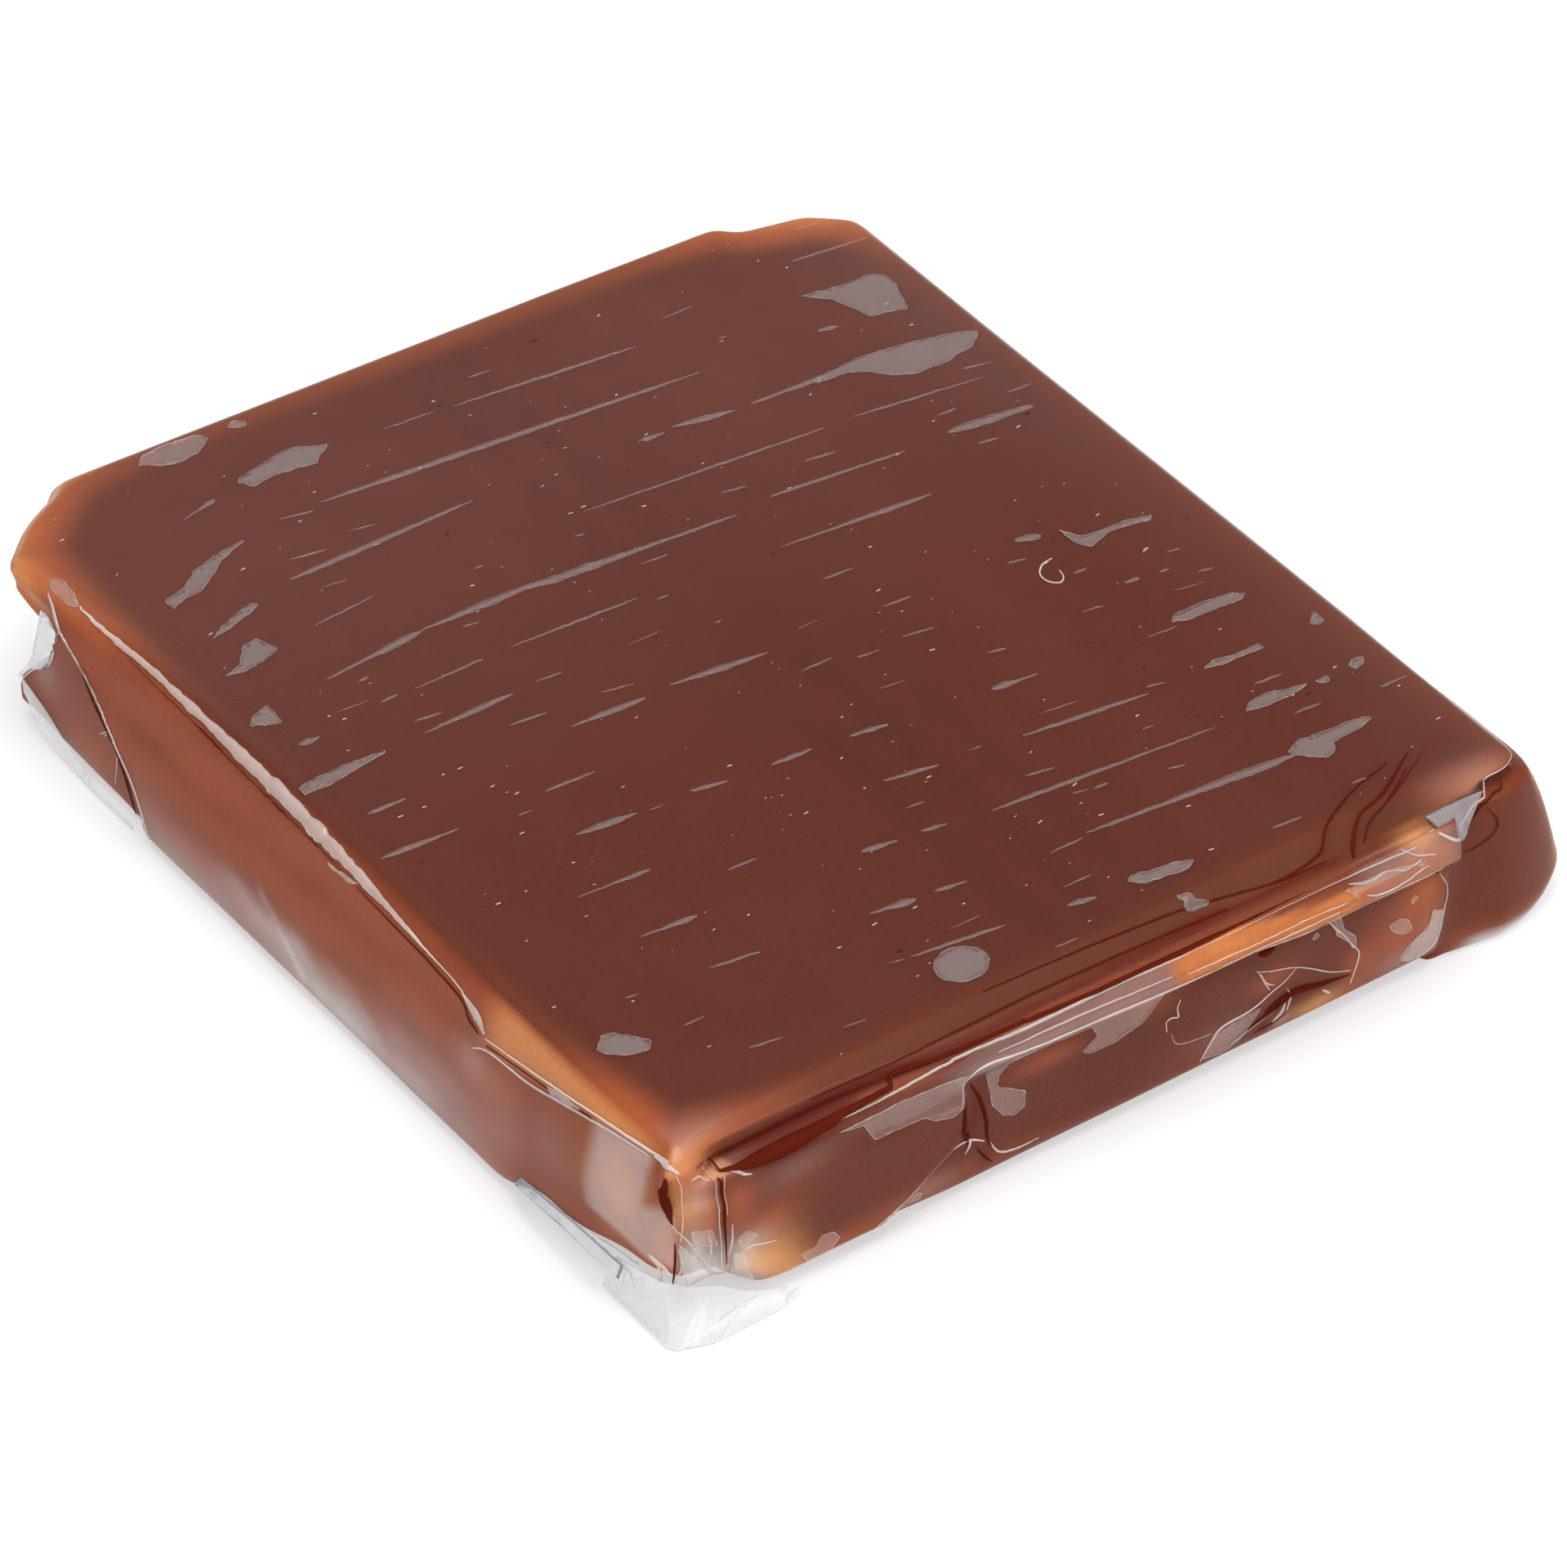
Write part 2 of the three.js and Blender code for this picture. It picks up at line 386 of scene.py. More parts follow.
# The lobe: the caramel has spread out at the foot of the right near corner.
lobe = {
    "start": 14.4,  # x on the near end
    "end": -9.2,  # y on the right side
    "past": 0.45,  # how far it stands out past the near end
    "cornerCut": 4.2,
    "bottom": 1.3,
    "top": 6.8,
    "thick": (-0.4535, -0.624, 0.636),  # a glow and a sheen are painted where the surface turns away from this side
}


def distances(points):
    return np.linalg.norm(np.diff(points, axis=0), axis=1)


def lengths(points):
    return np.concatenate([[0], np.cumsum(distances(points))])


def lobeRing(ring):
    x, y = ring[:, 0], ring[:, 1]
    inside = ((x > lobe["start"]) & (y < -19.5)) | ((x > 17) & (y < lobe["end"]))
    part = np.flatnonzero(inside)
    reach = slab["side"] + slab["lobeReach"]
    low = -slab["near"] - lobe["past"]
    first = np.array([lobe["start"], -slab["near"]])
    corner = np.array([reach - lobe["cornerCut"], low - 0.1])
    widest = np.array([reach, low + 3.2])
    last = np.array([slab["side"] + 0.1, lobe["end"]])
    curve = [first * (1 - t) + corner * t for t in np.linspace(0, 1, 8, endpoint=False)]
    for start, pull, end in (
        (corner, np.array([reach, low + 0.25]), widest),
        (widest, np.array([reach, low + 7.2]), last),
    ):
        for t in np.linspace(0, 1, 24, endpoint=False):
            curve.append(start * (1 - t) ** 2 + pull * 2 * t * (1 - t) + end * t ** 2)
    curve.append(ring[part[-1]])
    curve = np.array(curve)
    along = lengths(curve)
    want = lengths(ring[part])
    want = want / want[-1] * along[-1]
    grown = ring.copy()
    grown[part, 0] = np.interp(want, along, curve[:, 0])
    grown[part, 1] = np.interp(want, along, curve[:, 1])
    return grown


# Rows from the foot to the top rim: (height, inset) of the plain side.
def sideRows():
    rows = []
    foot, top = slab["footRounding"], slab["topRounding"]
    crest = slab["height"] - slab["crown"]
    for angle in np.linspace(0, math.pi / 2, mesh["footRows"]):
        rows.append((foot * (1 - math.cos(angle)), foot * (1 - math.sin(angle))))
    for z in np.linspace(foot, mesh["foldStart"], mesh["lowRows"] + 1)[1:]:
        rows.append((z, 0.0))
    for z in np.linspace(mesh["foldStart"], crest - top, mesh["foldRows"] + 1)[1:]:
        rows.append((z, 0.0))
    for angle in np.linspace(0, math.pi / 2, mesh["roundRows"] + 1)[1:]:
        rows.append((crest - top * (1 - math.sin(angle)), top * (1 - math.cos(angle))))
    return np.array(rows)


# The folded near end as a section: how far out and how high each share of the rows lies.
nearEnd = {
    "row": [0.0, 0.10, 0.30, 0.44, 0.50, 0.56, 0.60, 0.64, 0.72, 0.76, 0.80, 0.86, 0.90, 0.94, 1.0],
    "out": [-0.7, 0.06, 0.28, 0.36, 0.38, 0.60, 1.10, 1.22, 1.10, 0.72, 0.62, 0.30, 0.20, -0.1, -1.15],
    "up": [0.0, 0.8, 2.8, 4.2, 5.05, 5.50, 5.72, 5.92, 6.22, 6.78, 6.86, 6.62, 6.75, 7.15, 7.49],
}
grooveEnd = {
    "row": [0.0, 0.10, 0.50, 0.62, 0.70, 0.76, 0.82, 0.88, 0.94, 1.0],
    "out": [-0.8, 0.0, 0.10, 0.22, 0.20, -0.30, -0.62, -0.50, -0.60, -1.15],
    "up": [0.0, 0.8, 4.6, 5.75, 6.10, 6.30, 6.42, 6.80, 7.22, 7.49],
}


# Height and inset of each row in such a section.
def endSection(values, count):
    share = np.linspace(0, 1, count)
    out = np.interp(share, values["row"], values["out"])
    up = np.interp(share, values["row"], values["up"])
    kernel = np.array([0.25, 0.5, 0.25])
    for _ in range(2):
        out[1:-1] = np.convolve(out, kernel, "valid")
        up[1:-1] = np.convolve(up, kernel, "valid")
    return np.stack([up, -out], axis=1)


folds = {
    "ledgeLeft": (-14.5, -3.0),
    "ledgeRight": (14.3, 15.3),
    "farLedge": 0.35,
    "groove": (-17.2, -15.6, -11.5, -5.5),
    "flapFoot": -10.6,  # the corner flap's slanting edge at the foot and at its knee
    "flapKnee": (-6.2, 3.0),
    "flapStep": 0.3,
    "wideStart": -4.8,
    "wideEnd": 14.7,
    "wideStep": 0.22,
    "farFlap": (4.2, 14.6),
    "farStep": 0.2,
    "tuckStep": 0.35,
    "hollow": 2.25,
    "lean": 1.0,
    "wave": 0.07,
    "overLobe": 0.5,
    "lift": 2.0,  # the foot curls up under the left side and the near left corner
}


def tuckLine(z):
    return 10.5 + 0.1 * z + 0.11 * z * z


def hollowLine(z):
    return np.interp(z, [0.0, 1.9, 3.0, 4.0, 6.1], [19.8, 19.3, 18.3, 17.2, 16.3])


# A ring without its notches and corners.
def softRim(rim, rounds=260):
    soft = rim.copy()
    for _ in range(rounds):
        soft = 0.5 * soft + 0.25 * (np.roll(soft, 1, axis=0) + np.roll(soft, -1, axis=0))
    return soft


# The far left and the right near corner keep their shape: (x, y, reach, share).
sharpCorners = [(-17.6, 20.2, 3.4, 0.8), (18.3, -20.4, 2.0, 0.6)]


def sharpness(points):
    x, y = points[:, 0], points[:, 1]
    return sum(share * bell(np.hypot(x - a, y - b), 0, reach) for a, b, reach, share in sharpCorners)[:, None]


def footLift(x, y):
    alongLeft = 0.6 * ramp(-11.0, -14.5, y) + 0.4 * ramp(-15.0, -19.0, y)
    alongLeft = alongLeft * ramp(-14.0, -18.2, x)
    alongNear = ramp(-13.6, -17.0, x) * ramp(-18.0, -20.6, y)
    alongTuck = 0.12 * ramp(13.0, 19.5, y) * ramp(-12.5, -18.2, x)
    return folds["lift"] * np.maximum(np.maximum(alongLeft, alongNear), alongTuck)


# The ledge and the groove of the near end and the low ledge of the far end: how high and how far out.
def foldedEnds(x, near, far, z, inset, nearRow, grooveRow):
    ledge = ramp(*folds["ledgeLeft"], x) * (1 - ramp(*folds["ledgeRight"], x)) * near
    ledge = ledge * (0.45 + 0.55 * ramp(-8, 9, x))
    a, b, c, d = folds["groove"]
    groove = ramp(a, b, x) * ramp(d, c, x) * near
    farLedge = ramp(-15.5, -13.5, x) * ramp(13, 6, x) * far * folds["farLedge"]
    height = z + (ledge + farLedge) * (nearRow[0] - z) + groove * (grooveRow[0] - z)
    height -= 0.35 * ledge * ramp(5, 8, x) * bell(nearRow[0], 5.6, 0.5)
    return height, (ledge + farLedge) * (inset - nearRow[1]) + groove * (inset - grooveRow[1])


# The left side leans in towards its top edge, and the right side a little.
def leaningSides(y, left, right, z):
    share = (0.55 + 0.45 * bell(y, 4, 12)) * (1 - 0.8 * ramp(12.5, 15.8, y))
    lean = folds["lean"] * ramp(3.2, 7.6, z) * share
    return right * (0.25 * ramp(18, -16, y) - 0.1) * ramp(3.4, 7.6, z) - left * lean


# Soft waves where the film pulls in.
def softWaves(x, y, z):
    wave = np.sin(x * 0.45 + y * 0.31 + 0.8) * 0.6 + np.sin(y * 0.83 - x * 0.7 + z * 0.5) * 0.4
    return folds["wave"] * wave * math.sin(min(z / 7.0, 1) * math.pi)


# The tucked fold of the left side, and the hollow under the far left corner, which stands out over it.
def tuckedSide(x, y, out, left, z):
    past = ramp(0, 0.4, y - tuckLine(z)) * left
    thinner = 0.5 * ramp(17.6, 20.0, y)
    hollow = ramp(5.75, 5.15, z - thinner) * (x < -10) * ramp(0.0, 0.5, y - hollowLine(z))
    clipped = ramp(0.8, 0.99, (out[:, 1] - out[:, 0]) * 0.707) * (x < -10)
    return -past * folds["tuckStep"] * ramp(7.2, 6.3, z) - folds["hollow"] * hollow - 0.3 * clipped


# The corner flap stops at a slanting edge, the wide flap at an upright one. The far end has one such flap.
def endFlaps(x, near, far, height):
    knee = folds["flapKnee"]
    edge = folds["flapFoot"] + (knee[0] - folds["flapFoot"]) * np.clip(height / knee[1], 0, 1)
    corner = ramp(0.12, -0.12, x - edge) * ramp(5.6, 4.6, height)
    wide = ramp(-0.1, 0.12, folds["wideEnd"] - 0.35 * bell(height, 0.4, 1.4) - x)
    wide = wide * ramp(folds["wideStart"] - 6, 12, x) * ramp(5.4, 4.6, height)
    start, end = folds["farFlap"]
    behind = ramp(-0.12, 0.12, x - start - 0.5 * height) * ramp(-0.12, 0.12, end - x)
    behind = behind * ramp(5.8, 4.6, height)
    return near * (folds["flapStep"] * corner + folds["wideStep"] * wide) + far * folds["farStep"] * behind


# How much of the lobe shows at one height: full at the corner, slanting in along the right side.
def lobeSwell(y, z):
    share = min(max((z - lobe["bottom"]) / (lobe["top"] - lobe["bottom"]), 0), 1)
    slant = min(max(0.165 * (7.25 - z), 0), 1) * (share < 1)
    full = 0.9 * (1 - share ** 2.2) ** 0.8 + 0.1 * slant
    foot = 1 - 0.3 * max(0, 1 - z / 1.4) ** 2
    return ((slant + (full - slant) * ramp(-17.6, -20.0, y)) * foot)[:, None]


def outerForm():
    rows = sideRows()
    grid = []
    for (z, inset), *sections in zip(rows, endSection(nearEnd, len(rows)), endSection(grooveEnd, len(rows))):
        ring = planRing(z / slab["height"], inset)
        out = outwardPlan(ring)
        x, y = ring[:, 0], ring[:, 1]
        near = ramp(0.75, 0.98, -out[:, 1]) * (y < 0)
        far = ramp(0.75, 0.98, out[:, 1]) * (y > 0)
        left, right = ramp(0.7, 0.95, -out[:, 0]), ramp(0.7, 0.95, out[:, 0])
        height, move = foldedEnds(x, near, far, z, inset, *sections)
        move += leaningSides(y, left, right, z) + softWaves(x, y, z) + tuckedSide(x, y, out, left, z)
        move += endFlaps(x, near, far, height)
        move -= folds["overLobe"] * ramp(15.6, 16.6, x) * ramp(-10.0, -15.0, y) * bell(z, 6.72, 0.24)
        placed = ring + (lobeRing(ring) - ring) * lobeSwell(y, z)
        placed = placed + outwardPlan(placed) * move[:, None]
        height = height + footLift(x, y) * np.clip(1 - height / 6.5, 0, 1)
        grid.append(np.concatenate([placed, height[:, None]], axis=1))
    # the plan's corners grow rounder as the rows turn over on to the top
    for step in range(mesh["softRows"]):
        row = step - mesh["softRows"]
        soft = softRim(grid[row], 2 * (step + 1))
        grid[row] = soft + (grid[row] - soft) * sharpness(grid[row])
    return np.array(grid)


def topHeight(plan):
    return slab["height"] - slab["crown"] * 0.5 * ((plan[:, 0] / 18) ** 2 + (plan[:, 1] / 21) ** 2)


def capRows(rim, scales, height=None):
    rows = []
    soft = softRim(rim[:, :2])
    for scale in scales:
        share = ramp(0, 0.16, 1 - scale) * (1 - 0.6 * sharpness(rim))
        plan = (rim[:, :2] * (1 - share) + soft * share) * scale
        rise = rim[:, 2] * 1.0
        if height is not None:
            rise += (height(plan) - rise) * ramp(0, 0.14, 1 - scale)
        rows.append(np.concatenate([plan, rise[:, None]], axis=1))
    return rows


def wholeForm():
    side = outerForm()
    rimScales = np.linspace(1, mesh["rimScale"], mesh["rimRows"] + 1)[1:]
    middleScales = np.linspace(mesh["rimScale"], mesh["poleScale"], mesh["middleRows"] + 1)[1:]
    upper = capRows(side[-1], np.concatenate([rimScales, middleScales]), topHeight)
    lower = capRows(side[0], np.linspace(mesh["poleScale"], mesh["underScale"], mesh["underRows"]))
    for row in lower:
        row[:, 2] = footLift(row[:, 0], row[:, 1])
    return np.array(lower + list(side) + upper)


form = wholeForm()
firstSide = mesh["underRows"]
lastSide = firstSide + len(sideRows()) - 1
print("form of", form.shape[0], "rows and", form.shape[1], "points")


def gridNormals(grid):
    around = np.roll(grid, -1, axis=1) - np.roll(grid, 1, axis=1)
    up = np.gradient(grid, axis=0)
    normal = np.cross(around, up)
    size = np.linalg.norm(normal, axis=2, keepdims=True)
    return normal / np.maximum(size, 1e-9)


# A closed skin over the grid's rows, with a value or a colour on each of its points.
def skinMesh(name, grid, attributes):
    rows, count = grid.shape[:2]
    points = np.concatenate([grid.reshape(-1, 3), [grid[0].mean(axis=0), grid[-1].mean(axis=0)]])
    r = np.arange(rows - 1)[:, None] * count
    k = np.arange(count)[None, :]
    n = (k + 1) % count
    faces = np.stack([r + k, r + n, r + count + n, r + count + k], axis=-1).reshape(-1, 4).tolist()
    lowest, highest = rows * count, rows * count + 1
    last = (rows - 1) * count
    for i in range(count):
        j = (i + 1) % count
        faces.append((lowest, j, i))
        faces.append((highest, last + i, last + j))
    piece = addMesh(name, toMetres(points).tolist(), faces, materials[name])
    for key, values in attributes.items():
        values = values.reshape(rows * count, -1)
        values = np.concatenate([values, values[[0]], values[[-1]]]).astype(np.float32)
        if values.shape[1] == 1:
            store = piece.data.attributes.new(key, "FLOAT", "POINT")
            store.data.foreach_set("value", values.ravel())
        else:
            store = piece.data.attributes.new(key, "FLOAT_COLOR", "POINT")
            full = np.concatenate([values, np.ones((len(values), 1), np.float32)], axis=1)
            store.data.foreach_set("color", full.ravel())
    piece.data.update()
    return piece


# Where the film stands clear of the caramel: it goes down to the floor, and the caramel stops short of it.
gaps = {
    "cling": 0.03,
    "cornerLift": 0.5,
    "cornerReach": 2.6,
    "cornerInset": 0.3,
    "tuckLift": 0.05,
    "tuckInset": 0.05,
}


def caramelForm(outer):
    normal = gridNormals(outer)
    normal[:firstSide], normal[lastSide + 1:] = (0, 0, -1), (0, 0, 1)
    x, y, z = outer[..., 0], outer[..., 1], outer[..., 2]
    corner = spread(x, y, (-18.2, -20.8, gaps["cornerReach"], gaps["cornerReach"]))
    tucked = ramp(10.8, 13.5, y) * ramp(20.5, 18.5, y) * ramp(-14, -17, x)
    low = np.clip(1 - z / 5.5, 0, 1)
    inset = gaps["cling"] + gaps["cornerInset"] * corner * low + gaps["tuckInset"] * tucked * low
    inner = outer - normal * inset[..., None]
    inner[..., 2] += (gaps["cornerLift"] * corner + gaps["tuckLift"] * tucked) * low
    return inner


# A soft oval spot: (middle across, middle up, half width, half height).
def spread(a, b, spot):
    return bell(a, spot[0], spot[2]) * bell(b, spot[1], spot[3])


def pathDistance(x, y, path):
    best = np.full(x.shape, 1e9)
    for (a, b), (c, d) in zip(path, path[1:]):
        t = np.clip(((x - a) * (c - a) + (y - b) * (d - b)) / ((c - a) ** 2 + (d - b) ** 2), 0, 1)
        best = np.minimum(best, np.hypot(x - a - t * (c - a), y - b - t * (d - b)))
    return best


# How far in from the top's outline each point lies, seen from above.
def rimDistance(grid):
    outline = planRing(1.0, 0.0).astype(np.float32)
    rows = []
    for row in grid[..., :2].astype(np.float32):
        rows.append(np.sqrt(((row[:, None] - outline[None]) ** 2).sum(axis=2)).min(axis=1))
    return np.array(rows)


# The colours of the caramel, from the thick dark middle to the thin edges that light shines through.
colours = {
    # painted shade: the dark red of the gully, the creases and the grooves
    "shadeRed": (0.105, 0.011, 0.0045),
    "dark": (0.098, 0.0226, 0.013),
    "brown": (0.20, 0.046, 0.020),
    "toffee": (0.33, 0.080, 0.036),
    "orange": (0.47, 0.120, 0.030),
    "amber": (0.68, 0.30, 0.11),
    "pale": (0.82, 0.52, 0.28),
}
# Thin places of the top's rim: (x, y, reach, strength).
rimGlows = [
    (-18.3, -18.9, 4.2, 0.56),
    (-17.4, 20.2, 4.5, 0.56),
    (15.4, 20.6, 4.2, 0.42),
    (17.4, 19.0, 2.2, 0.32),
    (-17.6, 13.0, 4.0, 0.24),
    (2.0, 22.0, 12.0, 0.16),
]
paleSpots = [(-14.9, 21.3, 1.7, 0.7), (-17.0, -20.7, 1.5, 0.45), (-18.0, 19.4, 0.9, 0.4)]
# Painted shade in soft dark bands beside the tuck lines of the right near corner: (path, half width, share).
topShades = [
    ([(14.0, -18.4), (12.0, -18.9), (10.2, -19.8), (9.2, -20.8)], 0.18, 0.35),
    ([(14.9, -18.4), (12.9, -19.6), (11.5, -20.0), (10.5, -20.9)], 0.20, 0.40),
    ([(17.0, -18.2), (15.3, -18.8), (13.3, -19.8), (11.3, -20.6)], 0.34, 0.34),
]
# Glows on the near end: (x, z, half width, half height, colour, share).
endGlows = [
    (-17.4, 5.6, 0.6, 1.8, "amber", 0.55), (-16.9, 6.6, 0.9, 0.6, "orange", 0.8),
    (-16.7, 4.8, 0.4, 1.2, "orange", 0.7), (-15.5, 4.7, 0.7, 1.3, "toffee", 0.75),
    (-14.3, 3.6, 1.0, 0.9, "toffee", 0.7), (-13.0, 4.6, 1.4, 1.0, "brown", 0.4),
    (-14.4, 1.6, 1.2, 1.3, "amber", 0.95), (-13.4, 0.8, 0.9, 0.7, "amber", 0.9),
    (-15.3, 2.0, 0.6, 0.9, "pale", 0.8), (-11.6, 0.8, 1.6, 0.7, "toffee", 0.7),
    (-8.5, 1.1, 2.4, 0.7, "toffee", 0.55), (-4.5, 0.9, 2.5, 0.5, "brown", 0.8),
    (-2.7, 4.6, 1.5, 0.45, "toffee", 0.6), (1.5, 5.0, 1.2, 0.5, "toffee", 0.5),
    (4.0, 1.6, 1.6, 0.8, "brown", 0.5), (6.8, 3.4, 0.9, 0.5, "toffee", 0.6),
    (9.0, 1.1, 1.2, 0.4, "amber", 0.6), (10.8, 2.0, 0.9, 1.2, "toffee", 0.7),
    (12.6, 2.6, 1.4, 2.0, "toffee", 0.9), (13.4, 4.2, 0.8, 0.9, "orange", 0.6),
    (13.9, 2.2, 0.5, 1.0, "amber", 0.35),
]
# Painted shade: the dark red gully between the top and the ledge, and the shades of the pleat and the crumple
# below it.
gully = {
    "x": [-16.3, -15.0, -13.5, -12.0, -10.0, -5.0, 0.0, 3.6, 5.0, 6.2, 12.5],
    "z": [6.8, 6.4, 6.3, 6.42, 6.7, 6.9, 6.95, 7.0, 7.0, 6.98, 6.9],
    "half": [0.03, 0.36, 0.60, 0.54, 0.28, 0.11, 0.12, 0.18, 0.12, 0.04, 0.02],
}
endShades = [
    (-6.05, 3.0, 0.36, 0.62, 1.4), (-5.6, 3.9, 0.3, 1.1, 0.8), (7.9, 2.05, 1.3, 0.32, 0.95),
    (6.6, 1.35, 1.0, 0.22, 0.6), (13.2, 5.1, 0.8, 0.25, 0.7), (-5.1, 1.4, 0.3, 0.6, 0.5),
]


# The caramel's colour at every point of its grid, laid on in coats.
class Paint:
    def __init__(self, grid):
        self.grid = grid
        self.spots = [grid[..., k] for k in range(3)]
        self.normal = gridNormals(grid)
        x, y, _ = self.spots
        bands = 1 - 0.09 * bell(x, 0.8, 4.0) + 0.04 * bell(x, 8.2, 1.8)
        bands = bands + 0.03 * np.sin(x * 2.9 + 1.0) * bell(x, 4, 8) + 0.05 * ramp(0, 18, y)
        self.coat = np.ones(grid.shape) * np.array(colours["dark"]) * bands[..., None]

    def add(self, colour, share):
        share = np.clip(share, 0, 1)[..., None]
        self.coat = self.coat + (np.array(colours[colour]) - self.coat) * share

    def darken(self, share):
        self.coat = self.coat * (1 - share)[..., None]


# The top: a faint glow round its rim, strong where the rim is thin, and painted shade beside the tuck lines
# and along the near edge.
def paintTop(paint):
    x, y, z = paint.spots
    top = ramp(0.3, 0.8, paint.normal[..., 2]) * (z > 6.2)
    inward = rimDistance(paint.grid)
    strength = 0.10 + sum(share * bell(np.hypot(x - a, y - b), 0, reach) for a, b, reach, share in rimGlows)
    right = ramp(14, 17, x) * (y < 17)
    brown = top * ramp(2.0 + 1.6 * strength, 0.6, inward) * np.clip(0.2 + 1.6 * strength, 0, 1)
    paint.add("brown", brown * (1 - 0.6 * right))
    paint.add("orange", top * ramp(1.4 + 2.9 * strength, 0.2, inward) * np.clip(strength, 0, 1))
    amber = np.clip(strength * 1.1 - 0.3, 0, 1)
    paint.add("amber", top * ramp(0.7 + 1.0 * strength, 0.2, inward) * amber)
    paint.add("brown", top * ramp(-20.1, -20.9, y) * ramp(10, 6, x) * 0.45)
    for a, b, reach, share in paleSpots:
        paint.add("pale", top * spread(x, y, (a, b, reach, reach)) * ramp(1.0, 0.1, inward) * share)
    flap = ramp(6.8, 7.0, z) * ramp(-19.4, -20.8, y)
    paint.add("toffee", flap * bell(x, 16.4, 1.7) * 0.5)
    paint.add("amber", flap * bell(x, 16.4, 1.4) * ramp(7.45, 7.1, z) * 0.36)
    paint.add("amber", (y < -20.9) * spread(x, z, (12.9, 6.7, 0.8, 0.45)) * 0.65)
    # painted shade beside the tuck lines
    for path, half, share in topShades:
        paint.add("shadeRed", (z > 6.6) * bell(pathDistance(x, y, path), 0, half) * share)
    # painted shade along the top's near edge, beside the groove
    edge = ramp(-19.4, -20.5, y) * ramp(-13.5, -10.5, x) * ramp(15, 13, x) * (z > 6.8)
    paint.darken(0.38 * edge)


# The left side: orange-brown, duller towards the near corner and in the tucked fold.
def paintLeft(paint):
    x, y, z = paint.spots
    side = ramp(0.5, 0.85, np.clip(-paint.normal[..., 0], 0, 1)) * (z < 7.2)
    layers = 0.93 + 0.11 * np.sin(z * 3.4 + 0.6 * np.sin(y * 0.25) + y * 0.05)
    layers = layers + 0.05 * np.sin(y * 1.3 + z * 2.1) + 0.05 * np.sin(y * 0.55 - z * 1.7 + 1)
    paint.add("toffee", side * layers)
    paint.darken(0.2 * side * ramp(-13, -9, y))
    low = ramp(-10.5, -13.5, y) * ramp(6.4, 5.6, z - 0.13 * (-10 - y))
    paint.add("brown", side * low * 0.75)
    high = ramp(-9.5, -11.5, y) * ramp(0, 0.4, z - 5.2 - 0.19 * (-10.5 - y))
    paint.add("amber", side * high * 0.5)
    paint.add("orange", side * spread(y, z, (-20.9, 3.0, 0.8, 1.6)) * 1.2)
    paint.add("amber", side * spread(y, z, (-18.4, 4.8, 1.5, 1.6)) * 0.55)
    paint.add("brown", side * ramp(0, 0.6, y - tuckLine(z)) * ramp(6.4, 6.0, z) * 0.85)
    paint.add("toffee", side * spread(y, z, (14.6, 1.6, 1.6, 0.9)) * 0.6)
    paint.add("amber", side * ramp(16.0, 19.0, y) * ramp(6.0, 6.4, z) * 0.7)
    under = (x < -14) * ramp(16.5, 18.5, y) * ramp(4.9, 5.3, z) * ramp(7.1, 6.6, z)
    paint.add("orange", under * 0.9)


# The near end: glows low down, the ledge's streaky amber band, and painted shade in the dark gully over it
# and in the pleat and the crumple.
def paintNearEnd(paint):
    x, y, z = paint.spots
    near = np.clip(-paint.normal[..., 1], 0, 1)
    end = ramp(0.4, 0.8, near)
    facing = ramp(0.1, 0.5, near)
    paint.add("brown", end * 0.25)
    paint.add("brown", end * ramp(1.6, 0.4, z) * 0.6)
    for *spot, colour, share in endGlows:
        paint.add(colour, facing * spread(x, z, spot) * share)
    band = ramp(5.15, 5.45, z + 0.3 * ramp(5, 8, x)) * ramp(6.9, 6.7, z + 0.4 * ramp(4, 8.5, x))
    band = band * (y < -21.45)
    streaky = 0.5 + 0.3 * np.sin(z * 21 + 0.5 * np.sin(x * 0.9)) + 0.2 * np.sin(z * 47 + x * 1.7)
    fromMiddle = band * ramp(1.6, 2.8, x)
    paint.add("brown", band * ramp(2.8, 1.6, x) * ramp(-12, -8, x) * 0.7)
    paint.add("orange", fromMiddle * ramp(14.6, 13.6, x) * (0.62 + 0.14 * streaky))
    paint.add("amber", fromMiddle * ramp(10.5, 9.5, x) * (0.14 + 0.22 * streaky))
    paint.add("brown", band * ramp(9.5, 11.5, x) * 0.3)
    # painted shade in the gully
    middle, half = (np.interp(x, gully["x"], gully[key]) for key in ("z", "half"))
    inside = ramp(1.3, 0.6, np.abs(z - middle) / half) * (y < -20.0) * (x < 12.5)
    paint.add("shadeRed", inside * ramp(-21.95, -21.65, y) * 0.95)
    for *spot, share in endShades:
        paint.add("shadeRed", facing * spread(x, z, spot) * share)


# The lobe: dark, with a thin amber rim at its foot, painted as a glow where the lobe turns away from the
# viewing side; painted shade in the groove under the top's corner.
def paintLobe(paint):
    x, y, z = paint.spots
    side = ramp(14.6, 15.4, x) * ramp(-8.0, -10.5, y) * (z < 6.6)
    upright = np.hypot(paint.normal[..., 0], paint.normal[..., 1])
    paint.add("brown", side * ramp(0.2, 0.6, upright) * 0.2)
    # painted glow and sheen where the lobe turns away from the viewing side
    rim = bell(paint.normal @ np.array(lobe["thick"]), 0.05, 0.2) * ramp(16.8, 18.8, x)
    paint.add("orange", side * rim * 0.4)
    paint.add("amber", side * rim ** 2 * 0.7)
    paint.add("pale", side * rim ** 4 * 0.15)
    paint.add("toffee", side * ramp(1.6, 0.3, z) * 0.35)
    # painted shade in the groove under the top's corner
    paint.add("shadeRed", ramp(15.8, 16.8, x) * ramp(-11, -14, y) * bell(z, 6.7, 0.22) * 0.8)


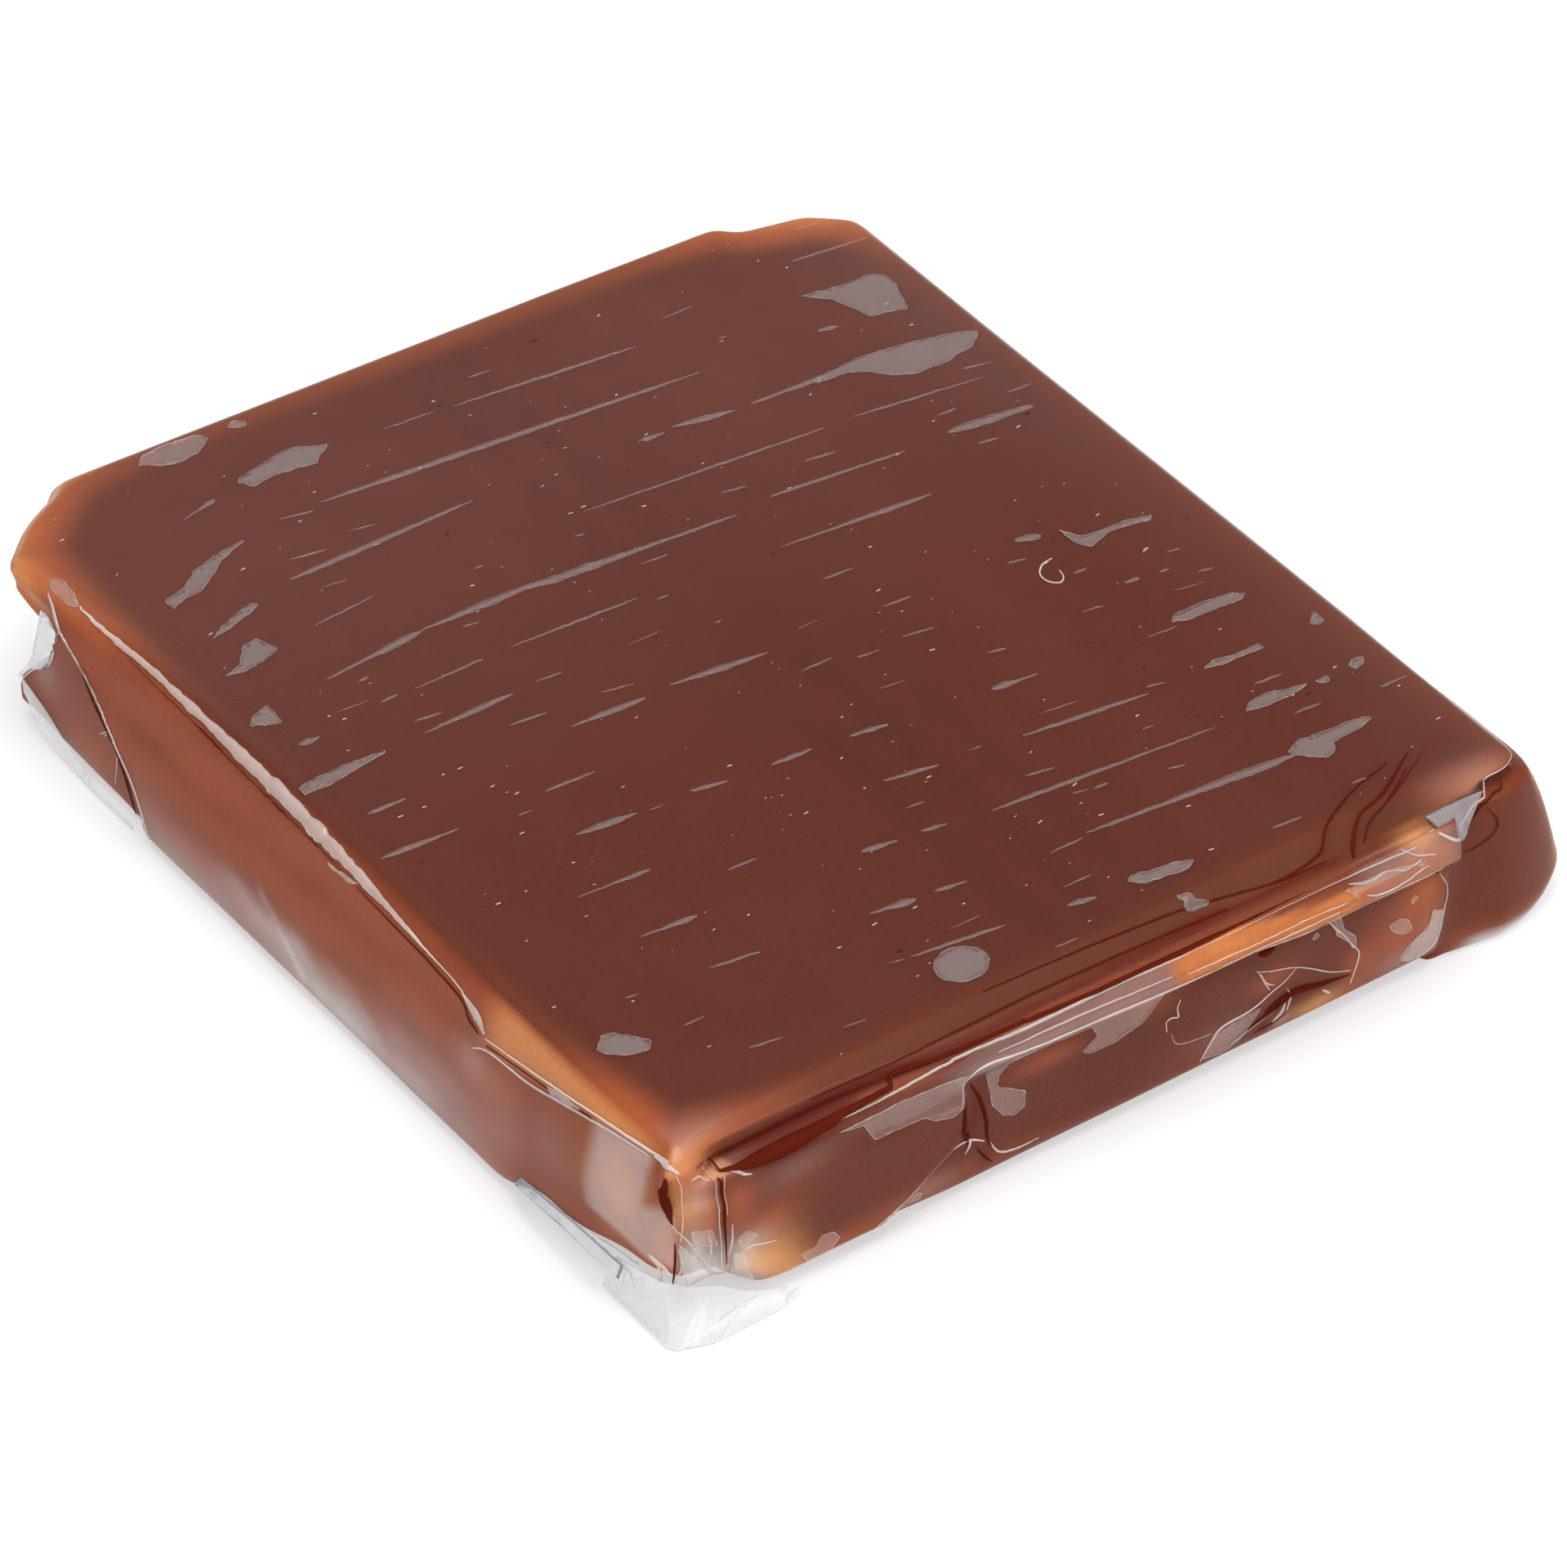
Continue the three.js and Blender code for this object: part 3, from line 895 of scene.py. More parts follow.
def paintHiddenSides(paint):
    x, y, z = paint.spots
    far = ramp(0.5, 0.85, np.clip(paint.normal[..., 1], 0, 1)) * (z < 7)
    paint.add("brown", far * (0.6 + 0.3 * np.sin(x * 0.8 + z)))
    right = ramp(0.5, 0.85, paint.normal[..., 0]) * ramp(20.2, 18.8, x) * (z < 7)
    paint.add("toffee", right * (0.45 + 0.2 * np.sin(y * 0.5 + z * 0.7)))
    paint.add("brown", ramp(0.4, 0.9, -paint.normal[..., 2]) * 0.35)


def paintCaramel(grid):
    paint = Paint(grid)
    for layer in (paintTop, paintLeft, paintNearEnd, paintLobe, paintHiddenSides):
        layer(paint)
    return paint.coat


# Haze on the film where it stands off the caramel, with painted sheen in place of the floor's reflection:
# (across, z, half width, half height, share).
endVeils = [
    (-16.8, 2.6, 0.8, 1.2, 0.40), (-17.3, 3.8, 0.4, 0.8, 0.35), (-16.9, 5.9, 0.5, 0.8, 0.12),
    (-15.2, 3.0, 0.8, 0.6, 0.22), (-15.4, 1.0, 1.0, 0.9, 0.30), (-13.0, 0.5, 1.6, 0.35, 0.22),
    (-13.2, 5.3, 1.6, 0.5, 0.05), (-8.6, 5.7, 2.6, 0.45, 0.02), (-7.6, 1.2, 1.2, 0.5, 0.08),
    (-4.6, 5.6, 1.6, 0.4, 0.04), (5.0, 1.8, 1.0, 0.6, 0.08), (12.8, 1.3, 1.4, 0.6, 0.10),
    (7.4, 1.2, 0.4, 0.3, 0.15),
]
leftVeils = [
    (-1.5, 1.0, 2.5, 0.6, 0.12), (2.2, 2.0, 2.2, 0.5, 0.13), (4.4, 2.6, 1.0, 0.5, 0.06),
    (-5.4, 2.1, 0.9, 0.9, 0.05), (-6.6, 1.1, 1.2, 0.5, 0.06), (-10.0, 4.6, 1.0, 0.8, 0.10),
    (-8.0, 2.6, 3.2, 1.5, 0.10), (-14.6, 4.4, 1.6, 1.4, 0.05), (0.5, 1.6, 3.6, 0.8, 0.16),
    (-3.0, 0.9, 3.2, 0.8, 0.14), (7.5, 0.8, 3.4, 1.0, 0.07), (4.2, 2.5, 1.6, 0.5, 0.05),
    (-12.0, 3.6, 1.0, 1.6, 0.05), (15.5, 0.9, 2.2, 0.6, 0.10), (17.5, 3.6, 0.8, 1.0, 0.12),
    (0.7, 2.5, 0.8, 0.45, 0.14), (-2.6, 1.7, 1.1, 0.6, 0.08), (-7.1, 1.5, 1.1, 0.6, 0.07),
]
# Narrow gleams on the left side: (path, half width, share).
leftGleams = [
    ([(2.9, 3.2), (2.0, 2.5), (1.1, 1.7), (0.35, 1.1)], 0.22, 0.12),
    ([(-1.4, 2.8), (-2.9, 2.5), (-4.0, 1.7)], 0.3, 0.05),
]


# The left side: painted sheen of the floor's reflection, strongest low down, and haze where the film stands
# off at the near corner.
def leftVeil(y, z):
    veil = 0.17 * ramp(3.4, 0.2, z) * ramp(-13.5, -9.0, y) * ramp(11.2, 10.2, y)
    veil += sum(share * spread(y, z, spot) for *spot, share in leftVeils)
    veil += sum(share * bell(pathDistance(y, z, path), 0, half) for path, half, share in leftGleams)
    patch = ramp(16.2, 17.2, -y) * ramp(3.0, 3.4, z) * ramp(6.9, 6.6, z + 0.15 * (y + 18))
    patch = patch * (1 - ramp(19.3, 19.9, -y) * ramp(5.0, 5.6, z + 0.5 * (y + 20)))
    return veil + patch * 0.24


# The near end: haze where the film stands off, partly painted sheen, and more along the ledge band.
def nearVeil(x, y, z):
    band = (y < -21.2) * ramp(5.2, 5.4, z) * ramp(7.1, 6.9, z)
    leftPart = (0.13 - 0.05 * ramp(6.0, 6.3, z)) * ramp(-8, -5, x) * ramp(2.6, 1.6, x)
    rightPart = 0.08 * ramp(9.5, 11.0, x) * ramp(15, 14, x)
    return sum(share * spread(x, z, spot) for *spot, share in endVeils) + band * (leftPart + rightPart)


# The hidden sides' haze: painted sheen on the right top edge where it turns away from the viewing side, and
# pale bands on the far and right sides.
def hiddenVeil(y, z, normal):
    # painted sheen along the right top edge where it turns away from the viewing side
    paintedRimSheen = bell(normal @ np.array(lobe["thick"]), 0.08, 0.2) * ramp(0.1, 0.3, normal[..., 0])
    uneven = 0.30 + 0.08 * np.sin(y * 0.9 + np.sin(y * 0.37))
    veil = paintedRimSheen * ramp(6.3, 6.6, z) * ramp(18, 16.5, y) * uneven
    veil += 0.12 * ramp(0.3, 0.9, normal[..., 1]) * ramp(6.3, 6.6, z)
    side = ramp(0.6, 0.9, normal[..., 0]) * ramp(0.5, 2.5, z) * ramp(5.6, 3.0, z)
    veil += side * 0.10 * (0.5 + 0.5 * np.sin(y * 0.42 + 1))
    return veil + ramp(0.6, 0.9, normal[..., 1]) * 0.05 * ramp(4, 1, z)


# Film haze at each point: air under the film, and painted sheen on the top towards the far and right edges,
# down the left side, on the near end and on the hidden sides.
def veilOf(grid):
    x, y, z = grid[..., 0], grid[..., 1], grid[..., 2]
    normal = gridNormals(grid)
    top = ramp(0.8, 0.97, normal[..., 2]) * (z > 6)
    # painted sheen on the top, towards the far and right edges
    veil = top * (0.014 * ramp(-8, 16, y) + 0.012 * ramp(13, 17.5, x))
    veil += top * 0.09 * spread(x, y, (-16.6, -20.2, 1.6, 1.0))
    veil += ramp(0.5, 0.9, -normal[..., 0]) * leftVeil(y, z)
    veil += ramp(0.3, 0.7, -normal[..., 1]) * nearVeil(x, y, z)
    veil += hiddenVeil(y, z, normal)
    # at the lobe's foot, and on the corner over it
    veil += 0.55 * ramp(15.0, 16.5, x) * ramp(-13, -16, y) * ramp(0.9, 0.25, z)
    veil += 0.05 * spread(x, y, (16.0, -20.6, 1.6, 0.8)) * ramp(6.6, 6.9, z)
    return veil


# The film is drawn tight and bright on the top, and duller down the sides.
def glossOf(grid):
    normal = gridNormals(grid)
    ledge = (grid[..., 1] < -21.0) * ramp(4.8, 5.2, grid[..., 2])
    return 0.2 + 0.8 * ramp(0.35, 0.9, normal[..., 2]) * ramp(6.9, 7.3, grid[..., 2]) - 0.12 * ledge


caramelGrid = caramelForm(form)
caramel = skinMesh("caramel", caramelGrid, {"paint": paintCaramel(caramelGrid)})
film = skinMesh("film", form, {"veil": veilOf(form), "gloss": glossOf(form)})
print("caramel and film made")


# Film folds and air pockets: both follow the film's surface, so one tree lays them on it.
ribbonInputs = {
    "Geometry": "Geometry",
    "Film": "Object",
    "Spacing": "Float",
    "Flatness": "Float",
    "Lift": "Float",
    "Ragged": "Float",
    "Grain": "Float",
    "Wander": "Float",
    "Seed": "Float",
    "Sides": "Int",
    "Material": "Material",
}


def ribbonTree():
    tree = bpy.data.node_groups.new("layOnFilm", "GeometryNodeTree")
    for name, kind in ribbonInputs.items():
        tree.interface.new_socket(name, in_out="INPUT", socket_type="NodeSocket" + kind)
    tree.interface.new_socket("Geometry", in_out="OUTPUT", socket_type="NodeSocketGeometry")

    def add(kind, settings=None, inputs=None):
        made = tree.nodes.new(kind)
        for key, value in (settings or {}).items():
            setattr(made, key, value)
        for key, value in (inputs or {}).items():
            if isinstance(value, bpy.types.NodeSocket):
                tree.links.new(value, made.inputs[key])
            else:
                made.inputs[key].default_value = value
        return made.outputs

    def maths(operation, first, second):
        return add("ShaderNodeMath", {"operation": operation}, {0: first, 1: second})[0]

    def vector(operation, first, second):
        key = "Scale" if operation == "SCALE" else 1
        return add("ShaderNodeVectorMath", {"operation": operation}, {0: first, key: second})[0]

    given = add("NodeGroupInput")
    skin = add("GeometryNodeObjectInfo", {}, {"Object": given["Film"]})["Geometry"]
    curve = add("GeometryNodeMeshToCurve", {}, {"Mesh": given["Geometry"]})[0]
    measured = {"Curve": curve, "Length": given["Spacing"]}
    curve = add("GeometryNodeResampleCurve", {"mode": "LENGTH"}, measured)[0]
    # the path strays a little
    spot = vector("SCALE", add("GeometryNodeInputPosition")[0], given["Grain"])
    noise = {"Vector": spot, "W": given["Seed"], "Scale": 1.0, "Detail": 3.0}
    wobble = add("ShaderNodeTexNoise", {"noise_dimensions": "4D"}, noise)
    stray = vector("SCALE", vector("SUBTRACT", wobble["Color"], (0.5, 0.5, 0.5)), given["Wander"])
    curve = add("GeometryNodeSetPosition", {}, {"Geometry": curve, "Offset": stray})[0]
    # it is laid on the film and turned to face as the film does
    near = add("GeometryNodeProximity", {"target_element": "FACES"}, {0: skin})["Position"]
    faced = {"Mesh": skin, "Value": add("GeometryNodeInputNormal")[0]}
    facing = add("GeometryNodeSampleNearestSurface", {"data_type": "FLOAT_VECTOR"}, faced)[0]
    on = vector("ADD", near, vector("SCALE", facing, given["Lift"]))
    curve = add("GeometryNodeSetPosition", {}, {"Geometry": curve, "Position": on})[0]
    curve = add("GeometryNodeSetCurveNormal", {"mode": "FREE"}, {"Curve": curve, "Normal": facing})[0]
    # it gets a thin lens as its section, of a width that varies
    half = add("GeometryNodeInputNamedAttribute", {"data_type": "FLOAT"}, {"Name": "halfWidth"})[0]
    rough = maths("MULTIPLY", maths("SUBTRACT", wobble[0], 0.5), given["Ragged"])
    half = maths("MULTIPLY", half, maths("ADD", rough, 1.0))
    circle = {"Resolution": given["Sides"], "Radius": 1.0}
    lens = add("GeometryNodeCurvePrimitiveCircle", {"mode": "RADIUS"}, circle)[0]
    thin = add("ShaderNodeCombineXYZ", {}, {"X": given["Flatness"], "Y": 1.0, "Z": 1.0})[0]
    lens = add("GeometryNodeTransform", {}, {"Geometry": lens, "Scale": thin})[0]
    swept = {"Curve": curve, "Profile Curve": lens, "Scale": half, "Fill Caps": True}
    ribbon = add("GeometryNodeCurveToMesh", {}, swept)[0]
    ribbon = add("GeometryNodeSetShadeSmooth", {}, {"Geometry": ribbon})[0]
    ribbon = add("GeometryNodeRealizeInstances", {}, {"Geometry": ribbon})[0]
    ribbon = add("GeometryNodeSetMaterial", {}, {"Geometry": ribbon, "Material": given["Material"]})[0]
    add("NodeGroupOutput", {}, {0: ribbon})
    return tree


layOnFilm = ribbonTree()
sampler = BVHTree.FromObject(film, bpy.context.evaluated_depsgraph_get())


def smoothPath(points, spacing=0.25):
    points = np.asarray(points, float)
    if len(points) == 2:
        steps = max(2, int(np.linalg.norm(points[1, :3] - points[0, :3]) / spacing) + 1)
        t = np.linspace(0, 1, steps)[:, None]
        return points[0] * (1 - t) + points[1] * t
    padded = np.concatenate([[2 * points[0] - points[1]], points, [2 * points[-1] - points[-2]]])
    path = []
    for i in range(1, len(padded) - 2):
        a, b, c, d = padded[i - 1:i + 3]
        steps = max(2, int(np.linalg.norm(c[:3] - b[:3]) / spacing) + 1)
        for t in np.linspace(0, 1, steps, endpoint=False):
            flatter = 2 * b + (c - a) * t + (2 * a - 5 * b + 4 * c - d) * t ** 2
            path.append(0.5 * (flatter + (3 * b - a - 3 * c + d) * t ** 3))
    path.append(padded[-2])
    return np.array(path)


# Lays paths of (x, y, z, half width) on the film as thin lens-shaped ribbons.
def layRibbons(name, paths, material, values):
    points, edges, widths = [], [], []
    for path in paths:
        smooth = smoothPath(path, values.get("step", 0.25))
        first = len(points)
        points.extend(toMetres(smooth[:, :3]).tolist())
        widths.extend((np.clip(smooth[:, 3], 0.004, None) * mm).tolist())
        edges.extend((i, i + 1) for i in range(first, len(points) - 1))
    lines = bpy.data.meshes.new(name + "Lines")
    lines.from_pydata(points, edges, [])
    lines.attributes.new("halfWidth", "FLOAT", "POINT").data.foreach_set("value", widths)
    carrier = addObject(name + "Lines", lines)
    lay = carrier.modifiers.new("lay", "NODES")
    lay.node_group = layOnFilm
    chosen = {
        "Film": film,
        "Spacing": values["spacing"] * mm,
        "Flatness": values["flatness"],
        "Lift": values["lift"] * mm,
        "Ragged": values["ragged"],
        "Grain": 1 / (values["grain"] * mm),
        "Wander": values["wander"] * mm,
        "Seed": values["seed"],
        "Sides": values["sides"],
        "Material": materials[material],
    }
    for item in layOnFilm.interface.items_tree:
        if item.in_out == "INPUT" and item.name in chosen:
            lay[item.identifier] = chosen[item.name]
    evaluated = carrier.evaluated_get(bpy.context.evaluated_depsgraph_get())
    made = bpy.data.meshes.new_from_object(evaluated)
    made.name = name
    bpy.data.objects.remove(carrier)
    print(name, len(paths), "paths,", len(made.polygons), "faces")
    return addObject(name, made)


# Flat patches of trapped air: an outline laid on the film and filled with small faces.
airPatch = {
    "outlineStep": 0.16,
    "fillStep": 0.24,
    "lift": 0.02,
    "thickness": 0.012,
    "rim": (0.004, 0.032),
}
# The near end and the left side lie about here.
endY = -21.5
leftX = -18.2


def spotOn(plane, spot):
    a, b = spot
    return {"top": (a, b, slab["height"]), "end": (a, endY, b), "left": (leftX, a, b)}[plane]


def raggedOutline(outline, ragged, chance):
    corners = np.array(outline, float)
    line = []
    for start, end in zip(corners, np.roll(corners, -1, axis=0)):
        run = end - start
        length = np.linalg.norm(run)
        steps = max(1, int(length / airPatch["outlineStep"]))
        across = np.array([-run[1], run[0]]) / max(length, 1e-6)
        for t in range(steps):
            line.append(start + run * t / steps + across * chance.uniform(-ragged, ragged) * (t > 0))
    return np.array(line)


def thicken(piece, thickness, offset):
    wall = piece.modifiers.new("wall", "SOLIDIFY")
    wall.thickness = thickness * mm
    wall.offset = offset


def layPatches(name, plane, outlines, material, ragged=0.035):
    chance = random.Random(len(name) + len(outlines))
    points, faces, rims = [], [], []
    step = airPatch["fillStep"]
    for outline in outlines:
        line = raggedOutline(outline, ragged, chance)
        low, high = line.min(axis=0), line.max(axis=0)
        inner = [(a, b) for a in np.arange(low[0], high[0], step) for b in np.arange(low[1], high[1], step)]
        spots = [Vector(p) for p in line.tolist()] + [Vector(p) for p in inner]
        found = delaunay_2d_cdt(spots, [], [list(range(len(line)))], 1, 1e-5)
        first = len(points)
        for spot in found[0]:
            place, facing = sampler.find_nearest(Vector(toMetres([spotOn(plane, spot)])[0]))[:2]
            points.append(place + facing * airPatch["lift"] * mm)
        faces.extend([first + i for i in face] for face in found[2])
        rim = [(*spotOn(plane, spot), chance.uniform(*airPatch["rim"])) for spot in line]
        rims.append(rim + rim[:1])
    piece = addMesh(name, points, faces, materials[material])
    for face in piece.data.polygons:
        facing = sampler.find_nearest(face.center)[1]
        if facing.dot(face.normal) < 0:
            face.flip()
    thicken(piece, airPatch["thickness"], 1)
    print(name, len(outlines), "patches,", len(piece.data.polygons), "faces")
    return piece, rims


topOutlines = [
    [(13.7, 15.3), (14.3, 15.2), (15.1, 15.0), (16.7, 14.9), (17.0, 14.6), (17.0, 13.9), (16.7, 13.2),
     (16.4, 12.4), (15.9, 12.6), (15.0, 12.8), (14.8, 13.5), (14.5, 14.5)],
    [(11.0, 10.9), (12.0, 10.9), (13.2, 11.0), (15.0, 10.7), (17.0, 10.2), (17.7, 9.8), (17.0, 9.2),
     (15.5, 8.9), (14.2, 9.0), (13.5, 9.4), (13.0, 10.0), (12.3, 10.5), (11.0, 10.6)],
    [(-15.1, 13.2), (-15.1, 13.8), (-14.2, 14.0), (-13.4, 14.6), (-12.4, 14.9), (-11.0, 15.1),
     (-11.0, 15.0), (-12.2, 14.6), (-13.0, 14.0), (-13.8, 13.5), (-14.5, 13.5)],
    [(-14.9, 11.0), (-14.3, 11.4), (-12.8, 11.9), (-12.6, 11.7), (-13.2, 11.4), (-14.3, 11.1)],
    [(-15.7, 9.0), (-15.0, 9.2), (-14.3, 10.0), (-13.7, 10.1), (-13.4, 9.2), (-14.2, 8.9), (-15.0, 8.8)],
    [(-16.5, 6.2), (-16.1, 6.6), (-15.4, 6.8), (-15.5, 5.7), (-15.8, 5.8)],
    [(-17.0, 2.1), (-17.0, 2.5), (-15.0, 2.5), (-13.5, 2.3), (-13.6, 2.2), (-15.3, 2.0), (-16.2, 1.9)],
    [(-11.6, 21.0), (-11.1, 21.5), (-10.2, 21.6), (-9.0, 21.4), (-8.7, 20.9), (-9.4, 20.4), (-10.4, 20.3),
     (-11.0, 20.5)],
    [(-7.8, 21.0), (-7.4, 21.3), (-7.1, 21.0), (-7.2, 20.7), (-7.5, 20.8)],
    [(-9.3, 18.0), (-9.1, 18.2), (-8.0, 18.4), (-7.3, 18.6), (-6.5, 18.6), (-6.0, 18.3), (-5.4, 18.0),
     (-6.1, 17.6), (-6.4, 17.3), (-7.2, 17.5), (-8.0, 17.6), (-9.0, 17.5)],
    [(12.8, -1.5), (13.2, -2.2), (14.0, -2.4), (15.0, -2.4), (16.0, -2.7), (15.8, -2.9), (14.2, -2.6),
     (13.6, -2.8), (13.1, -2.9), (12.8, -2.4)],
    [(12.8, -8.0), (13.1, -7.7), (14.3, -7.7), (15.5, -7.9), (15.9, -8.2), (15.6, -8.4), (14.5, -8.3),
     (13.2, -8.2)],
    [(12.1, -10.7), (12.6, -10.5), (13.3, -10.7), (14.5, -10.7), (14.5, -11.0), (13.2, -10.9),
     (12.7, -10.9)],
    [(11.8, -13.4), (12.2, -13.1), (13.0, -13.0), (13.8, -13.3), (14.5, -13.4), (14.0, -13.6),
     (12.6, -13.6)],
    [(14.8, -13.5), (15.3, -13.5), (15.2, -13.8), (14.9, -13.7)],
    [(16.3, -13.5), (16.7, -13.3), (17.0, -13.4), (16.8, -13.7), (16.4, -13.8)],
    [(16.7, -10.9), (17.2, -10.4), (17.2, -11.0), (16.9, -11.1)],
    [(11.6, -16.0), (12.2, -15.7), (13.2, -15.8), (14.9, -16.0), (15.1, -16.2), (14.5, -16.4),
     (13.2, -16.5), (12.9, -16.9), (12.5, -17.0), (12.0, -16.6), (11.7, -16.3)],
    [(2.9, -18.2), (3.2, -18.0), (3.9, -18.2), (4.7, -18.3), (5.4, -18.6), (5.1, -18.8), (4.5, -18.8),
     (4.0, -18.7), (3.3, -18.6)],
    [(-16.5, -14.7), (-16.0, -14.2), (-15.6, -14.3), (-15.2, -14.8), (-14.8, -15.4), (-15.1, -15.7),
     (-15.6, -15.6), (-16.0, -15.4), (-16.4, -15.0)],
    [(3.8, -19.75), (4.15, -19.8), (4.3, -20.0), (4.25, -20.2), (4.5, -20.3), (4.65, -20.5), (4.4, -20.6),
     (3.95, -20.6), (3.7, -20.45), (3.8, -20.2), (3.9, -20.05), (3.75, -19.9)],
    [(-17.75, 17.4), (-17.4, 17.0), (-17.45, 16.0), (-17.75, 15.4), (-18.0, 15.8), (-18.0, 16.7)],
    [(-4.2 + 1.0 * math.cos(turn), -18.3 + 0.85 * math.sin(turn))
     for turn in np.linspace(0, 2 * math.pi, 15)[:-1]],
]
endOutlines = [
    [(-11.4, 6.0), (-10.5, 5.8), (-10.0, 5.0), (-8.0, 4.9), (-7.5, 4.5), (-6.8, 4.3), (-6.4, 4.5),
     (-6.3, 5.1), (-6.0, 5.8), (-7.5, 6.0), (-9.0, 6.1)],
    [(-5.4, 5.6), (-5.2, 4.8), (-5.0, 3.7), (-4.5, 2.9), (-4.0, 2.7), (-3.6, 2.9), (-3.6, 3.6), (-4.2, 4.0),
     (-4.8, 4.4), (-4.8, 4.9), (-4.3, 5.2), (-3.0, 5.2), (-0.9, 5.1), (-0.7, 4.7), (-1.3, 4.2), (-1.0, 4.0),
     (0.0, 4.0), (1.2, 4.4), (1.7, 4.9), (2.2, 5.3), (0.5, 5.5), (-2.5, 5.6)],
    [(-13.0, 1.4), (-12.4, 1.4), (-12.2, 1.8), (-11.7, 1.7), (-11.4, 1.3), (-11.7, 1.0), (-11.5, 0.6),
     (-11.9, 0.5), (-12.6, 0.6)],
    [(-8.8, 1.0), (-8.2, 1.4), (-7.8, 1.1), (-7.9, 0.8), (-8.5, 0.8)],
    [(11.8, 3.4), (12.2, 3.5), (12.7, 3.2), (12.9, 2.6), (12.5, 2.6), (12.0, 3.0)],
    [(8.4, 4.5), (8.5, 4.7), (8.7, 4.5), (8.5, 4.4)],
    [(12.7, 4.1), (12.8, 4.3), (13.0, 4.1), (12.8, 3.9)],
    [(9.2, 5.0), (9.6, 4.9), (9.8, 4.2), (10.3, 3.7), (10.4, 3.1), (10.0, 3.6), (9.5, 4.1)],
    [(9.4, 6.2), (11.0, 6.2), (12.8, 5.9), (12.2, 5.5), (10.2, 5.5)],
    [(-17.4, 4.7), (-16.6, 4.4), (-16.4, 3.6), (-17.3, 4.1)],
    [(-15.6, 3.5), (-15.2, 3.7), (-14.8, 3.3), (-15.4, 3.0)],
    [(4.0, 1.1), (4.4, 2.0), (5.2, 2.2), (6.4, 2.3), (5.6, 1.2), (4.8, 0.9)],
]
panelOutlines = [
    [(-17.9, 4.3), (-17.3, 3.6), (-16.7, 2.5), (-16.2, 1.5), (-16.8, 1.5), (-17.6, 2.4), (-17.8, 3.1)],
    [(-15.7, 2.9), (-15.3, 2.7), (-15.0, 1.4), (-15.2, 0.6), (-15.8, 0.8), (-15.9, 1.8)],
    [(13.8, 3.1), (13.7, 2.3), (13.1, 1.9), (12.6, 1.25), (13.1, 0.9), (14.05, 1.05), (14.3, 1.8),
     (14.35, 2.8)],
]
leftOutlines = [
    [(-2.2, 7.0), (-0.9, 6.7), (-0.4, 6.7), (-0.5, 6.5), (-1.8, 6.6)],
    [(-15.8, 6.5), (-15.0, 6.5), (-13.9, 6.2), (-14.2, 6.0), (-15.2, 6.2)],
]
topAir, topRims = layPatches("topAir", "top", topOutlines, "airPocket")
endAir, endRims = layPatches("endAir", "end", endOutlines, "endPocket", 0.02)
endPanels, panelRims = layPatches("endPanels", "end", panelOutlines, "clearPanel", 0.02)
leftAir = layPatches("leftAir", "left", leftOutlines, "clearPanel", 0.03)[0]

